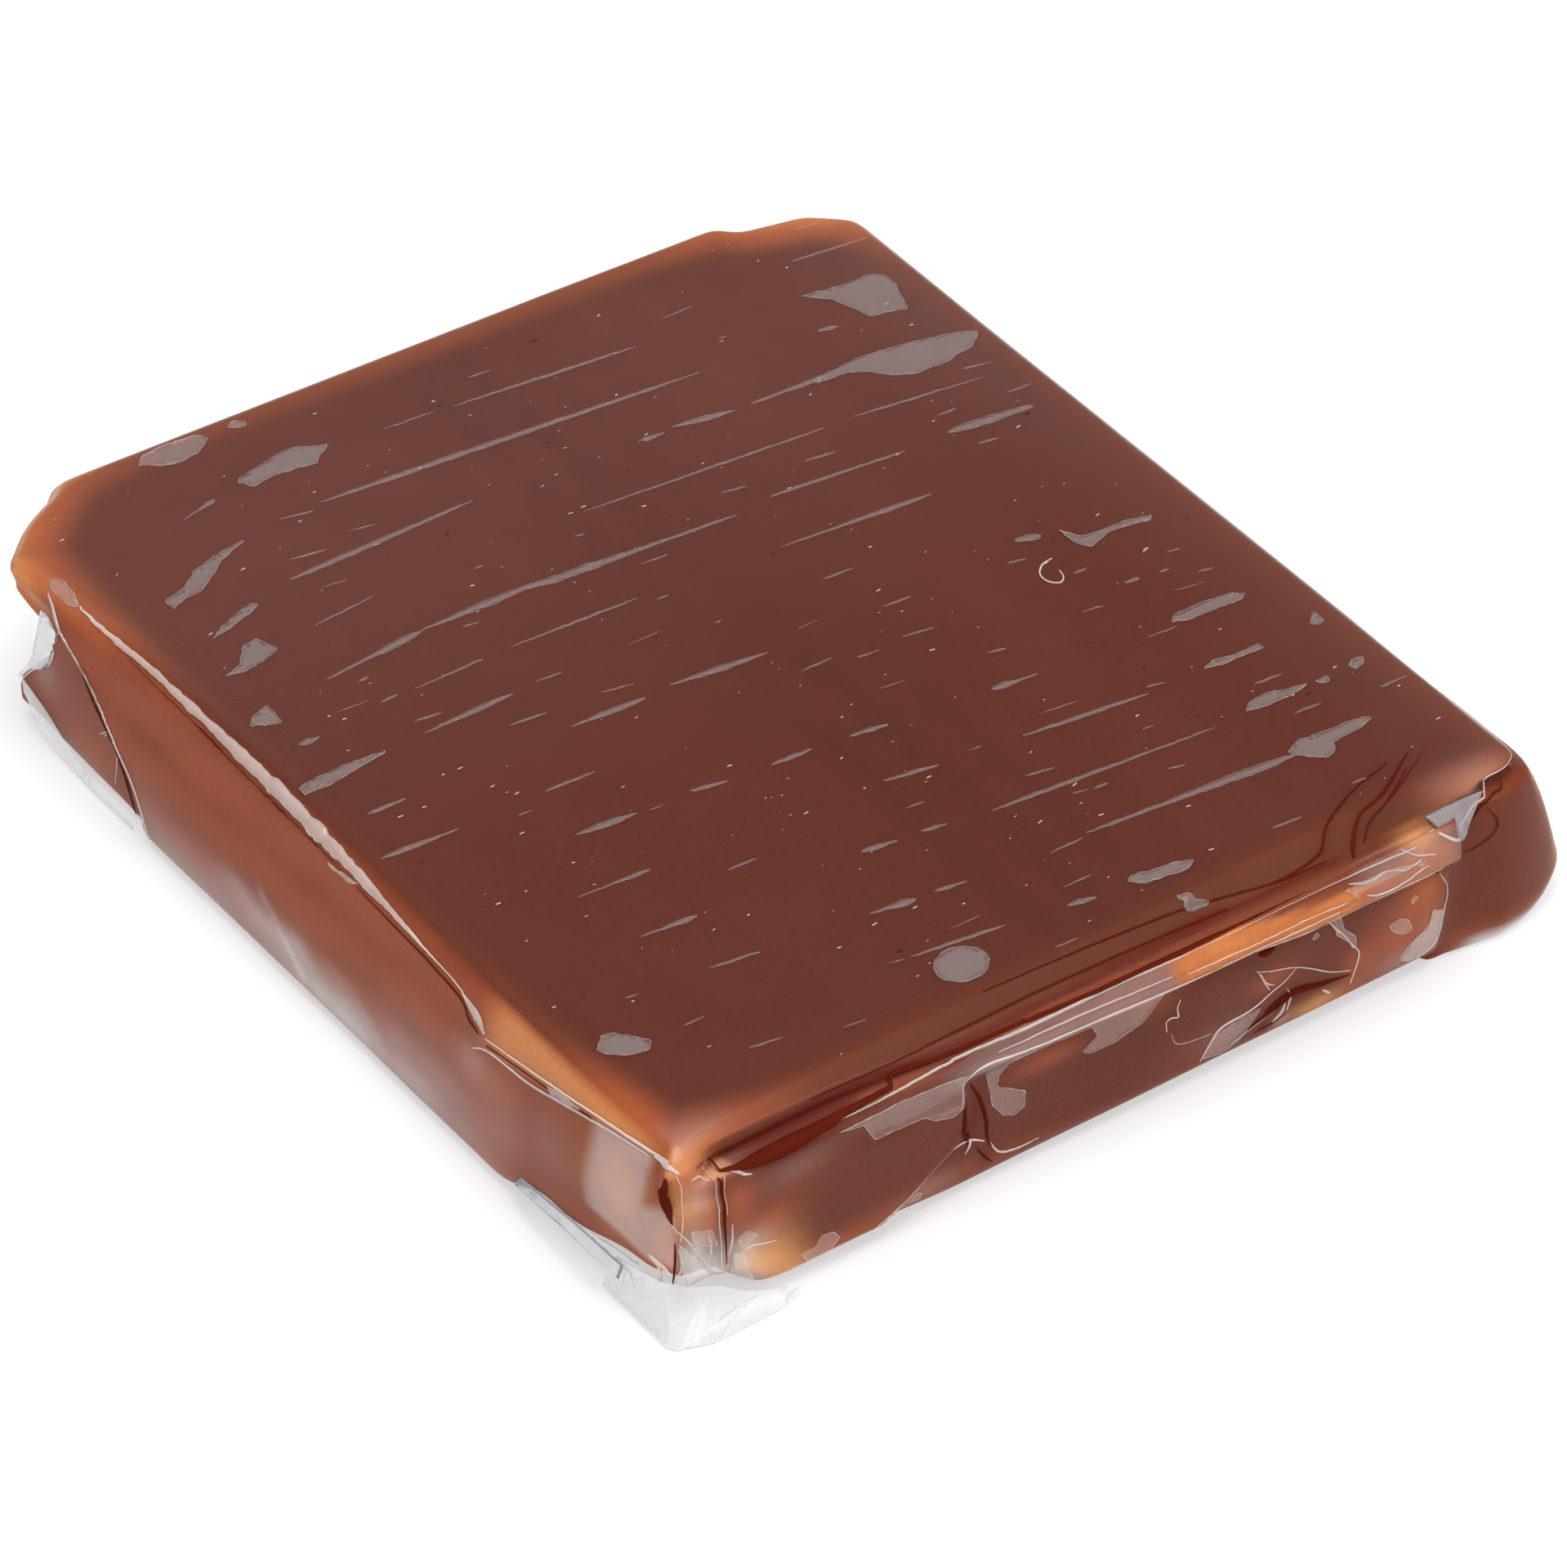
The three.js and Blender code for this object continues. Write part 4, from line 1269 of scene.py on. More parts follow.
# Air trapped in long streaks on the top:
# (x, y, length, turn, widest half width, tail half width, place of the widest).
streaks = [
    (9.9, 10.9, 3.2, -4, 0.16, 0.08, 0.75),
    (14.8, 5.2, 3.5, -8, 0.26, 0.16, 0.40),
    (13.5, 7.8, 5.4, -9, 0.08, 0.04, 0.40),
    (0.2, 14.5, 15.5, -6, 0.17, 0.09, 0.40),
    (3.2, 16.8, 7.5, -7, 0.10, 0.06, 0.60),
    (-2.3, 17.5, 2.1, -5, 0.05, 0.03, 0.60),
    (-7.0, 12.2, 7.8, 0, 0.17, 0.09, 0.35),
    (-6.2, 7.0, 5.2, -2, 0.22, 0.07, 0.55),
    (-0.2, 6.4, 8.5, -6, 0.24, 0.09, 0.22),
    (-10.3, 9.6, 2.7, 4, 0.06, 0.03, 0.50),
    (-10.9, 6.9, 4.2, 4, 0.22, 0.07, 0.75),
    (-4.2, 4.3, 5.2, -4, 0.08, 0.05, 0.60),
    (-9.3, 4.5, 2.8, 0, 0.07, 0.04, 0.70),
    (-1.6, -0.8, 3.9, -8, 0.19, 0.06, 0.50),
    (-10.0, 2.3, 3.7, 0, 0.17, 0.06, 0.60),
    (-6.1, -0.5, 3.0, -4, 0.19, 0.06, 0.60),
    (-9.3, -2.8, 2.0, -4, 0.10, 0.06, 0.40),
    (-15.3, 4.3, 0.8, -4, 0.18, 0.08, 0.40),
    (-15.1, -0.2, 1.5, -4, 0.13, 0.06, 0.40),
    (-15.3, -2.5, 3.0, -6, 0.15, 0.06, 0.35),
    (4.3, 11.5, 1.0, -7, 0.17, 0.07, 0.30),
    (6.4, 11.3, 2.5, -12, 0.21, 0.06, 0.50),
    (4.7, 8.8, 10.0, -6, 0.08, 0.05, 0.60),
    (8.4, 5.8, 5.6, -7, 0.11, 0.07, 0.30),
    (7.3, 3.2, 6.2, -6, 0.15, 0.06, 0.70),
    (7.5, -15.8, 8.4, -6, 0.24, 0.10, 0.75),
    (5.9, -13.0, 9.0, -6, 0.12, 0.06, 0.30),
    (7.2, -10.3, 5.0, -8, 0.13, 0.07, 0.50),
    (1.0, -18.1, 1.1, -12, 0.15, 0.07, 0.50),
    (9.2, -18.9, 1.2, -6, 0.07, 0.05, 0.50),
    (12.6, -18.6, 0.6, -6, 0.06, 0.05, 0.50),
    (0.4, -9.3, 2.1, -12, 0.12, 0.06, 0.50),
    (0.6, -6.6, 1.5, -10, 0.14, 0.07, 0.60),
    (-2.4, -6.2, 1.6, -4, 0.14, 0.07, 0.50),
    (-5.6, -5.8, 1.4, -12, 0.13, 0.07, 0.40),
    (-9.6, -5.4, 2.4, -7, 0.21, 0.06, 0.50),
    (-11.2, -8.1, 2.8, -5, 0.13, 0.04, 0.80),
    (-11.0, -11.0, 2.2, -6, 0.15, 0.05, 0.70),
    (-2.8, -11.8, 1.4, -10, 0.15, 0.08, 0.40),
    (-0.7, -12.1, 1.0, -12, 0.11, 0.06, 0.40),
    (-2.1, -14.9, 1.2, -10, 0.12, 0.06, 0.40),
    (-4.3, -14.6, 1.8, -9, 0.21, 0.06, 0.70),
    (6.3, -7.4, 1.8, -9, 0.21, 0.06, 0.25),
    (-10.2, -13.7, 1.9, -10, 0.08, 0.05, 0.50),
    (-3.6, -17.3, 3.6, -9, 0.10, 0.06, 0.60),
    (16.3, 17.1, 3.2, -7, 0.08, 0.05, 0.50),
    (13.3, 13.1, 0.8, -14, 0.15, 0.08, 0.50),
    (13.1, -5.3, 0.6, -8, 0.11, 0.07, 0.50),
    (14.4, -5.5, 0.4, -8, 0.09, 0.06, 0.50),
    (11.6, -1.2, 1.0, -20, 0.24, 0.16, 0.60),
    (-11.9, 6.0, 0.4, 0, 0.09, 0.06, 0.50),
    (-11.8, 4.6, 0.7, 0, 0.08, 0.05, 0.50),
    (-11.3, 17.5, 1.6, 12, 0.14, 0.04, 0.85),
]

# Broken rows of short dashes between the long streaks, and specks.
dashes = {
    "rows": 20,
    "firstRow": 20.5,
    "rowPitch": 2.1,
    "perRow": 6,
    "across": (-15.5, 17.0),
    "stray": 0.35,
    "farthest": 19.6,  # from the middle, along y
    "length": (0.3, 1.5),
    "width": (0.035, 0.085),
    "turn": -7.0,
    "tilt": (-8, 6),  # added to the turn
    "clearance": 0.45,
    "specks": 260,
    "speckHalves": (0.02, 0.02, 0.03, 0.045),
    "seed": 11,
}


# A streak swells at one place, and its ends are blunt.
def streakPath(x, y, length, turn, wide, tail, place, z):
    along = np.array([math.cos(math.radians(turn)), math.sin(math.radians(turn))])
    reach = 0.22 + 0.16 * (0.5 - abs(place - 0.5))
    taper = 0.12
    path = []
    for t in (0.0, taper, 0.3, 0.5, 0.7, 1 - taper, 1.0):
        near = math.exp(-((t - place) / reach) ** 2)
        end = min(t, 1 - t) / taper
        half = (tail + (wide - tail) * near) * min(1.0, 0.35 + 0.65 * end)
        spot = np.array([x, y]) + along * length * (t - 0.5)
        path.append((spot[0], spot[1], z, half))
    return path


def clearOf(x, y, others, gap):
    for middleX, middleY, length, turn, half, *_ in others:
        turn = math.radians(turn)
        dx, dy = x - middleX, y - middleY
        along = dx * math.cos(turn) + dy * math.sin(turn)
        across = -dx * math.sin(turn) + dy * math.cos(turn)
        if abs(along) < length / 2 + gap and abs(across) < half + gap:
            return False
    return True


def outlineBox(outline):
    spots = np.array(outline)
    low, high = spots.min(axis=0), spots.max(axis=0)
    middle, size = (low + high) / 2, high - low
    return (middle[0], middle[1], size[0], 0.0, size[1] / 2)


def topStreaks():
    chance = random.Random(dashes["seed"])
    turn = dashes["turn"]
    slope = math.tan(math.radians(turn))
    placed = list(streaks) + [outlineBox(outline) for outline in topOutlines]
    paths = [streakPath(*streak, slab["height"]) for streak in streaks]
    for row in range(dashes["rows"]):
        base = dashes["firstRow"] - row * dashes["rowPitch"]
        for _ in range(dashes["perRow"]):
            x = chance.uniform(*dashes["across"])
            y = base + x * slope + chance.uniform(-dashes["stray"], dashes["stray"])
            length = chance.uniform(*dashes["length"])
            wide = chance.uniform(*dashes["width"])
            if abs(y) < dashes["farthest"] and clearOf(x, y, placed, dashes["clearance"]):
                tilted = turn + chance.uniform(*dashes["tilt"])
                made = (x, y, length, tilted, wide, wide * 0.5, chance.uniform(0.3, 0.7))
                placed.append(made)
                paths.append(streakPath(*made, slab["height"]))
    return paths


def topSpecks():
    chance = random.Random(dashes["seed"] + 1)
    light, dark = [], []
    z = slab["height"]
    for i in range(dashes["specks"]):
        x, y = chance.uniform(-16.5, 17.5), chance.uniform(-20, 20.5)
        half = chance.choice(dashes["speckHalves"])
        long = half * chance.uniform(1.0, 2.4)
        end = (x + long, y + chance.uniform(-half, half), z, half * 0.6)
        (dark if i % 6 == 0 else light).append([(x - long, y, z, half * 0.6), (x, y, z, half), end])
    return light, dark


# The right side, far end and underside carry the same kinds of streak.
hidden = {
    "right": {"at": 18.6, "along": (-7.5, 17.5), "up": (1.0, 6.0), "count": 34, "length": (0.5, 3.2),
              "half": (0.04, 0.22), "seed": 21},
    "far": {"at": 22.4, "along": (-13.5, 13.5), "up": (1.0, 6.0), "count": 30, "length": (0.5, 2.6),
            "half": (0.04, 0.24), "seed": 22},
    "under": {"at": 0.0, "along": (-14.0, 15.0), "up": (-18.0, 19.0), "count": 46, "length": (0.8, 6.0),
              "half": (0.05, 0.30), "seed": 23},
}


# Streaks scattered over a side, as (along, up, half width).
def scattered(values):
    chance = random.Random(values["seed"])
    start, end = values["along"]
    low, high = values["up"]
    paths = []
    for i in range(values["count"]):
        along = start + (end - start) * (i + chance.uniform(0.1, 0.9)) / values["count"]
        up = low + (high - low) * chance.random()
        length = chance.uniform(*values["length"])
        half = chance.uniform(*values["half"])
        tilt = chance.uniform(-0.25, 0.25)
        steps = ((-0.5, 0.4), (-0.2, 1.0), (0.1, 1.0), (0.5, 0.4))
        paths.append([(along + length * t, up + tilt * length * t, half * share) for t, share in steps])
    return paths


def hiddenStreaks():
    place = {
        "right": lambda at, a, b: (at, a, b),
        "far": lambda at, a, b: (a, at, b),
        "under": lambda at, a, b: (a, b, at),
    }
    paths = []
    for side, values in hidden.items():
        for path in scattered(values):
            paths.append([(*place[side](values["at"], a, b), half) for a, b, half in path])
    return paths


pocketLook = {
    "spacing": 0.09,
    "flatness": 0.035,
    "lift": 0.02,
    "ragged": 1.0,
    "grain": 0.35,
    "wander": 0.12,
    "seed": 3.0,
    "sides": 6,
}
rimLook = {
    "spacing": 0.12,
    "flatness": 0.3,
    "lift": 0.025,
    "ragged": 0.8,
    "grain": 0.3,
    "wander": 0.0,
    "seed": 4.0,
    "sides": 4,
    "step": 1.0,
}
airStreaks = layRibbons("airStreaks", topStreaks() + hiddenStreaks(), "airPocket", pocketLook)
airRims = layRibbons("airRims", topRims + endRims + panelRims, "airRim", rimLook)
lightSpecks, darkSpecks = topSpecks()


rough = {
    "step": 0.22,
    "steadiness": 0.6,  # how much of the last width stays in the next
    "knots": 0.06,  # share of the points that swell
    "swell": 1.35,
    "stray": 0.02,
}


# The same path with its widths broken up.
def roughened(share, seed, path):
    chance = random.Random(seed)
    fine = smoothPath(path, rough["step"])
    kept = rough["steadiness"]
    level = 1.0
    for spot in fine:
        level = kept * level + (1 - kept) * chance.uniform(1 - share, 1 + share)
        spot[3] *= level * (rough["swell"] if chance.random() < rough["knots"] else 1.0)
        spot[2] += chance.uniform(-rough["stray"], rough["stray"])
    return [tuple(spot) for spot in fine]


# The same path drawn finer, as the creases of the near left corner are.
def finer(path, share=0.72, least=0.02):
    return [(*spot, max(least, share * half)) for *spot, half in path]


# Paths that stay at one y on the near end, at one z on the top or at one x on the left side.
def atEnd(y, *spots):
    return [(x, y, z, half) for x, z, half in spots]


def atTop(z, *spots):
    return [(x, y, z, half) for x, y, half in spots]


def atLeft(x, *spots):
    return [(x, y, z, half) for y, z, half in spots]


# Fold lines of the film, each with its half width at every point: painted highlights, pale edges with a
# painted glint, and painted shade. They follow the edges and the folded end.
highlightLines = [
    # the film bridges the left top edge and catches the light
    roughened(0.32, 31, [(-17.5, 15.4, 7.0, 0.04), (-17.4, 13.6, 7.05, 0.09), (-17.3, 11.4, 7.1, 0.13),
        (-17.3, 9.6, 7.1, 0.17), (-17.3, 8.2, 7.1, 0.20), (-17.3, 7.6, 7.1, 0.17), (-17.3, 5.2, 7.05, 0.27),
        (-17.3, 2.6, 7.0, 0.30), (-17.4, 0.0, 6.95, 0.28), (-17.5, -2.2, 6.9, 0.20),
        (-17.6, -4.4, 6.8, 0.11), (-17.7, -6.4, 6.7, 0.04), (-17.8, -8.4, 6.6, 0.03),
        (-17.9, -8.9, 6.5, 0.06), (-17.95, -9.4, 6.35, 0.19), (-18.0, -9.9, 6.15, 0.17),
        (-18.05, -10.3, 5.85, 0.04)]),
    [(-18.1, -10.4, 5.75, 0.03), (-18.05, -13.4, 6.2, 0.05), (-17.95, -16.4, 6.7, 0.05),
     (-17.8, -18.6, 7.0, 0.06), (-17.6, -20.3, 7.2, 0.05)],
    [(-17.8, -19.6, 7.1, 0.03), (-17.7, -20.3, 7.1, 0.11), (-17.5, -20.8, 7.0, 0.04)],
    # white highlight on the foot of the corner
    [(-18.2, -20.1, 3.4, 0.03), (-18.2, -20.5, 3.2, 0.12), (-18.1, -20.9, 2.9, 0.05)],
    atLeft(-18.2, (-20.5, 3.1, 0.05), (-20.6, 2.5, 0.08), (-20.4, 2.0, 0.03)),
    # painted highlight on a wrinkle like a bent hair on the top, and on one on the near end
    atTop(7.5, (11.6, -2.6, 0.03), (11.1, -2.7, 0.04), (10.7, -3.1, 0.03), (10.7, -3.6, 0.04),
        (11.0, -3.9, 0.04), (11.3, -3.7, 0.03), (11.4, -3.3, 0.02)),
    atEnd(-21.6, (2.72, 4.64, 0.02), (2.6, 4.27, 0.03), (2.68, 3.88, 0.035), (2.69, 3.83, 0.035),
        (2.64, 3.84, 0.03), (2.4, 3.95, 0.03), (2.35, 3.96, 0.035), (2.18, 3.9, 0.03), (2.14, 3.87, 0.03),
        (2.15, 3.8, 0.025), (2.2, 3.39, 0.02)),
    # painted highlight on the lower edge of the ledge, brightest left of the middle
    [(-6.5, -21.4, 4.4, 0.02), (-6.3, -21.4, 5.2, 0.03), (-6.0, -21.4, 5.8, 0.04),
     (-5.3, -21.5, 5.95, 0.06), (-4.0, -21.6, 5.85, 0.05), (-2.0, -21.8, 5.7, 0.08),
     (0.0, -22.0, 5.65, 0.12), (1.6, -22.0, 5.6, 0.12), (3.0, -22.1, 5.6, 0.06), (4.4, -22.2, 5.55, 0.03)],
    roughened(0.7, 37, [(4.4, -22.2, 5.55, 0.03), (6.0, -22.2, 5.5, 0.04), (9.0, -22.2, 5.25, 0.04),
        (11.6, -22.2, 5.3, 0.045), (12.4, -22.1, 5.4, 0.06), (13.6, -22.0, 5.5, 0.03)]),
    # painted highlights on the crumpled lower right part of the near end
    atEnd(-21.5, (3.9, 1.0, 0.03), (4.3, 1.75, 0.06), (4.7, 2.25, 0.07), (6.0, 2.4, 0.05), (6.8, 2.8, 0.04),
        (7.3, 3.0, 0.03), (7.8, 3.4, 0.02)),
    atEnd(-21.5, (7.5, 1.9, 0.03), (7.35, 1.5, 0.09), (7.0, 1.25, 0.04)),
    atEnd(-21.6, (6.05, 4.2, 0.01), (6.4, 3.5, 0.03), (6.7, 2.95, 0.02)),
    atEnd(-21.6, (9.1, 4.9, 0.02), (9.5, 4.3, 0.05), (9.9, 3.8, 0.03), (10.3, 3.1, 0.04)),
    atEnd(-21.5, (9.1, 1.7, 0.02), (9.3, 1.5, 0.07), (9.5, 1.3, 0.02)),
    # painted highlights in a star where the corner flap is pinched
    atEnd(-21.4, (-6.6, 2.4, 0.02), (-5.9, 2.5, 0.06), (-5.2, 2.1, 0.03)),
    atEnd(-21.4, (-6.0, 2.8, 0.02), (-5.8, 2.3, 0.06), (-6.0, 1.9, 0.02)),
    # right corner: a painted highlight on the fold that stands out
    [(18.4, -19.6, 7.1, 0.01), (18.2, -20.4, 7.1, 0.03), (17.4, -20.8, 7.05, 0.03),
     (16.4, -21.2, 6.95, 0.04), (15.6, -21.3, 6.4, 0.06), (15.2, -21.5, 5.9, 0.06),
     (14.4, -21.8, 5.6, 0.04)],
    [(13.3, -21.4, 7.0, 0.03), (13.8, -21.6, 6.5, 0.06), (14.4, -21.8, 6.1, 0.07),
     (15.0, -21.6, 5.8, 0.04)],
]
# Pale lines: the film's edges and creases, pale of themselves, with a painted glint.
paleLines = [
    [(-18.2, -9.8, 5.0, 0.02), (-18.2, -10.6, 5.4, 0.05), (-18.15, -13.0, 5.65, 0.05),
     (-18.1, -15.4, 6.2, 0.05), (-18.0, -17.6, 6.7, 0.04), (-17.9, -19.4, 7.0, 0.02)],
    # edge of the tucked fold
    [(-18.0, 16.9, 7.2, 0.03), (-18.2, 16.0, 6.8, 0.07), (-18.9, 15.1, 6.2, 0.08), (-19.1, 13.9, 5.2, 0.07),
     (-19.3, 12.8, 4.4, 0.07), (-19.4, 11.8, 3.3, 0.07), (-19.4, 11.0, 2.2, 0.07), (-19.4, 10.5, 1.0, 0.06),
     (-19.3, 10.3, 0.4, 0.05)],
    atLeft(-17.9, (15.0, 6.2, 0.03), (15.6, 6.3, 0.06), (16.2, 6.3, 0.04)),
    [(-17.8, 16.1, 6.2, 0.03), (-17.8, 16.6, 5.0, 0.06), (-17.9, 17.1, 3.9, 0.05), (-18.0, 18.2, 3.0, 0.05),
     (-18.0, 19.2, 1.9, 0.03)],
    atLeft(-18.2, (12.45, 3.55, 0.01), (12.7, 2.45, 0.03), (13.0, 1.15, 0.015)),
    atLeft(-18.2, (13.7, 3.0, 0.02), (13.0, 3.6, 0.03), (13.4, 3.1, 0.02)),
    # upper edge of the ledge
    [(-15.8, -20.9, 6.6, 0.03), (-15.3, -21.1, 6.1, 0.07), (-14.9, -21.2, 5.9, 0.03)],
    [(-11.4, -21.1, 6.4, 0.02), (-8.0, -21.3, 6.6, 0.05), (-5.0, -21.5, 6.75, 0.06),
     (-1.3, -21.6, 6.85, 0.06), (2.2, -21.8, 6.9, 0.04), (3.4, -21.8, 6.9, 0.015),
     (8.6, -21.8, 6.85, 0.015), (10.6, -21.8, 6.8, 0.035), (12.6, -21.8, 6.7, 0.03)],
    [(-5.0, -21.7, 6.35, 0.02), (-2.0, -21.8, 6.4, 0.04), (2.0, -21.9, 6.3, 0.02)],
    roughened(0.8, 33, atEnd(-22.1, (2.6, 6.2, 0.015), (5.0, 6.15, 0.025), (8.0, 6.1, 0.03),
        (9.4, 6.0, 0.02))),
    roughened(0.8, 34, [(4.0, -22.1, 5.85, 0.015), (6.6, -22.2, 5.85, 0.03), (9.0, -22.2, 5.8, 0.02)]),
    # the film is crumpled at the right end of the ledge
    roughened(0.6, 35, atEnd(-21.9, (9.6, 6.6, 0.02), (10.4, 6.3, 0.05), (11.2, 6.4, 0.03),
        (11.9, 6.1, 0.05), (12.7, 6.2, 0.02))),
    roughened(0.6, 36, [(10.2, -22.0, 5.9, 0.02), (10.9, -22.0, 5.7, 0.04), (11.8, -22.0, 5.75, 0.03),
        (12.9, -21.9, 5.9, 0.02)]),
    [(12.0, -21.6, 6.8, 0.02), (12.5, -21.8, 6.4, 0.04), (13.3, -21.8, 6.1, 0.02)],
    # slanting edge of the corner flap
    [(-6.6, -21.4, 2.5, 0.03), (-7.4, -21.3, 2.1, 0.04), (-8.6, -21.3, 1.5, 0.04),
     (-9.8, -21.2, 0.9, 0.03)],
    atEnd(-21.4, (-5.0, 2.0, 0.03), (-4.6, 1.3, 0.05), (-3.9, 1.0, 0.05), (-2.9, 1.0, 0.02)),
    # end of the wide flap
    roughened(0.5, 38, [(13.7, -21.6, 5.15, 0.01), (14.1, -21.6, 4.4, 0.02), (14.5, -21.6, 3.6, 0.05),
        (14.45, -21.6, 2.8, 0.07), (14.35, -21.6, 1.95, 0.04), (14.1, -21.6, 1.1, 0.05),
        (13.4, -21.5, 0.8, 0.03)]),
    atEnd(-21.6, (13.8, 3.1, 0.01), (13.7, 2.3, 0.03), (13.1, 1.9, 0.03), (12.6, 1.3, 0.02)),
    # creases of the near left corner, and the fan that runs to the pinch
    [(-17.6, -20.6, 7.0, 0.02), (-17.5, -20.9, 6.3, 0.025), (-17.6, -21.0, 5.2, 0.02),
     (-17.7, -21.0, 4.4, 0.02)],
    finer([(-17.9, -20.9, 5.1, 0.03), (-17.3, -21.2, 4.0, 0.06), (-16.7, -21.3, 2.8, 0.07),
        (-16.1, -21.3, 1.6, 0.05)]),
    finer([(-17.2, -21.2, 3.9, 0.02), (-16.9, -21.3, 3.0, 0.05), (-16.3, -21.3, 1.8, 0.04)]),
    finer(atEnd(-21.3, (-16.7, 4.3, 0.03), (-16.6, 3.6, 0.05), (-16.7, 3.0, 0.03))),
    finer(atEnd(-21.3, (-16.2, 3.7, 0.02), (-16.2, 2.9, 0.05), (-16.1, 1.7, 0.05))),
    finer(atEnd(-21.3, (-15.8, 4.3, 0.03), (-15.8, 3.5, 0.06), (-15.9, 3.0, 0.03))),
    finer([(-15.7, -21.3, 2.9, 0.06), (-15.7, -21.3, 2.0, 0.08), (-15.6, -21.3, 1.2, 0.07),
        (-15.3, -21.2, 0.7, 0.04)]),
    finer([(-16.1, -21.3, 1.6, 0.06), (-16.5, -21.3, 1.4, 0.04), (-17.4, -21.2, 2.3, 0.06),
        (-17.7, -21.1, 2.4, 0.03)]),
    finer([(-17.8, -21.1, 4.1, 0.04), (-17.7, -21.1, 3.3, 0.06), (-17.9, -21.0, 2.5, 0.04)]),
    [(-16.3, -21.2, 6.9, 0.01), (-16.3, -21.3, 5.8, 0.02), (-16.3, -21.3, 4.6, 0.02),
     (-16.2, -21.3, 3.4, 0.015)],
    [(-15.9, -21.1, 6.6, 0.015), (-16.0, -21.2, 5.6, 0.02), (-16.0, -21.3, 4.8, 0.012)],
    finer([(-17.1, -21.0, 6.6, 0.02), (-16.8, -21.0, 6.6, 0.07), (-16.4, -21.1, 6.5, 0.02)]),
    finer(atEnd(-21.3, (-15.5, 2.7, 0.03), (-15.1, 2.9, 0.06), (-14.4, 2.7, 0.05), (-14.0, 2.6, 0.02))),
    finer(atEnd(-21.3, (-15.4, 2.4, 0.03), (-15.0, 1.3, 0.07), (-15.0, 0.7, 0.05))),
    # low on the near end
    atEnd(-21.5, (6.0, 4.2, 0.02), (6.6, 3.9, 0.03), (7.7, 3.5, 0.03), (8.4, 3.1, 0.03), (9.4, 2.4, 0.03),
        (10.3, 2.0, 0.02)),
    atEnd(-21.5, (6.2, 4.0, 0.02), (6.5, 3.4, 0.04), (6.9, 3.1, 0.02)),
    atEnd(-21.5, (10.3, 3.2, 0.02), (10.6, 2.6, 0.04), (10.4, 1.3, 0.03)),
    atEnd(-21.5, (7.5, 2.6, 0.02), (7.7, 2.1, 0.05), (7.6, 1.5, 0.03)),
    atEnd(-21.5, (5.2, 1.1, 0.02), (6.2, 1.5, 0.05), (7.4, 1.9, 0.03)),
    atEnd(-21.5, (2.4, 3.2, 0.01), (2.8, 2.5, 0.015), (4.2, 2.2, 0.015)),
    # film under the left side
    [(-18.5, -12.8, 1.4, 0.05), (-18.55, -15.8, 1.7, 0.07), (-18.5, -18.6, 1.9, 0.06),
     (-18.4, -19.1, 1.4, 0.04)],
]
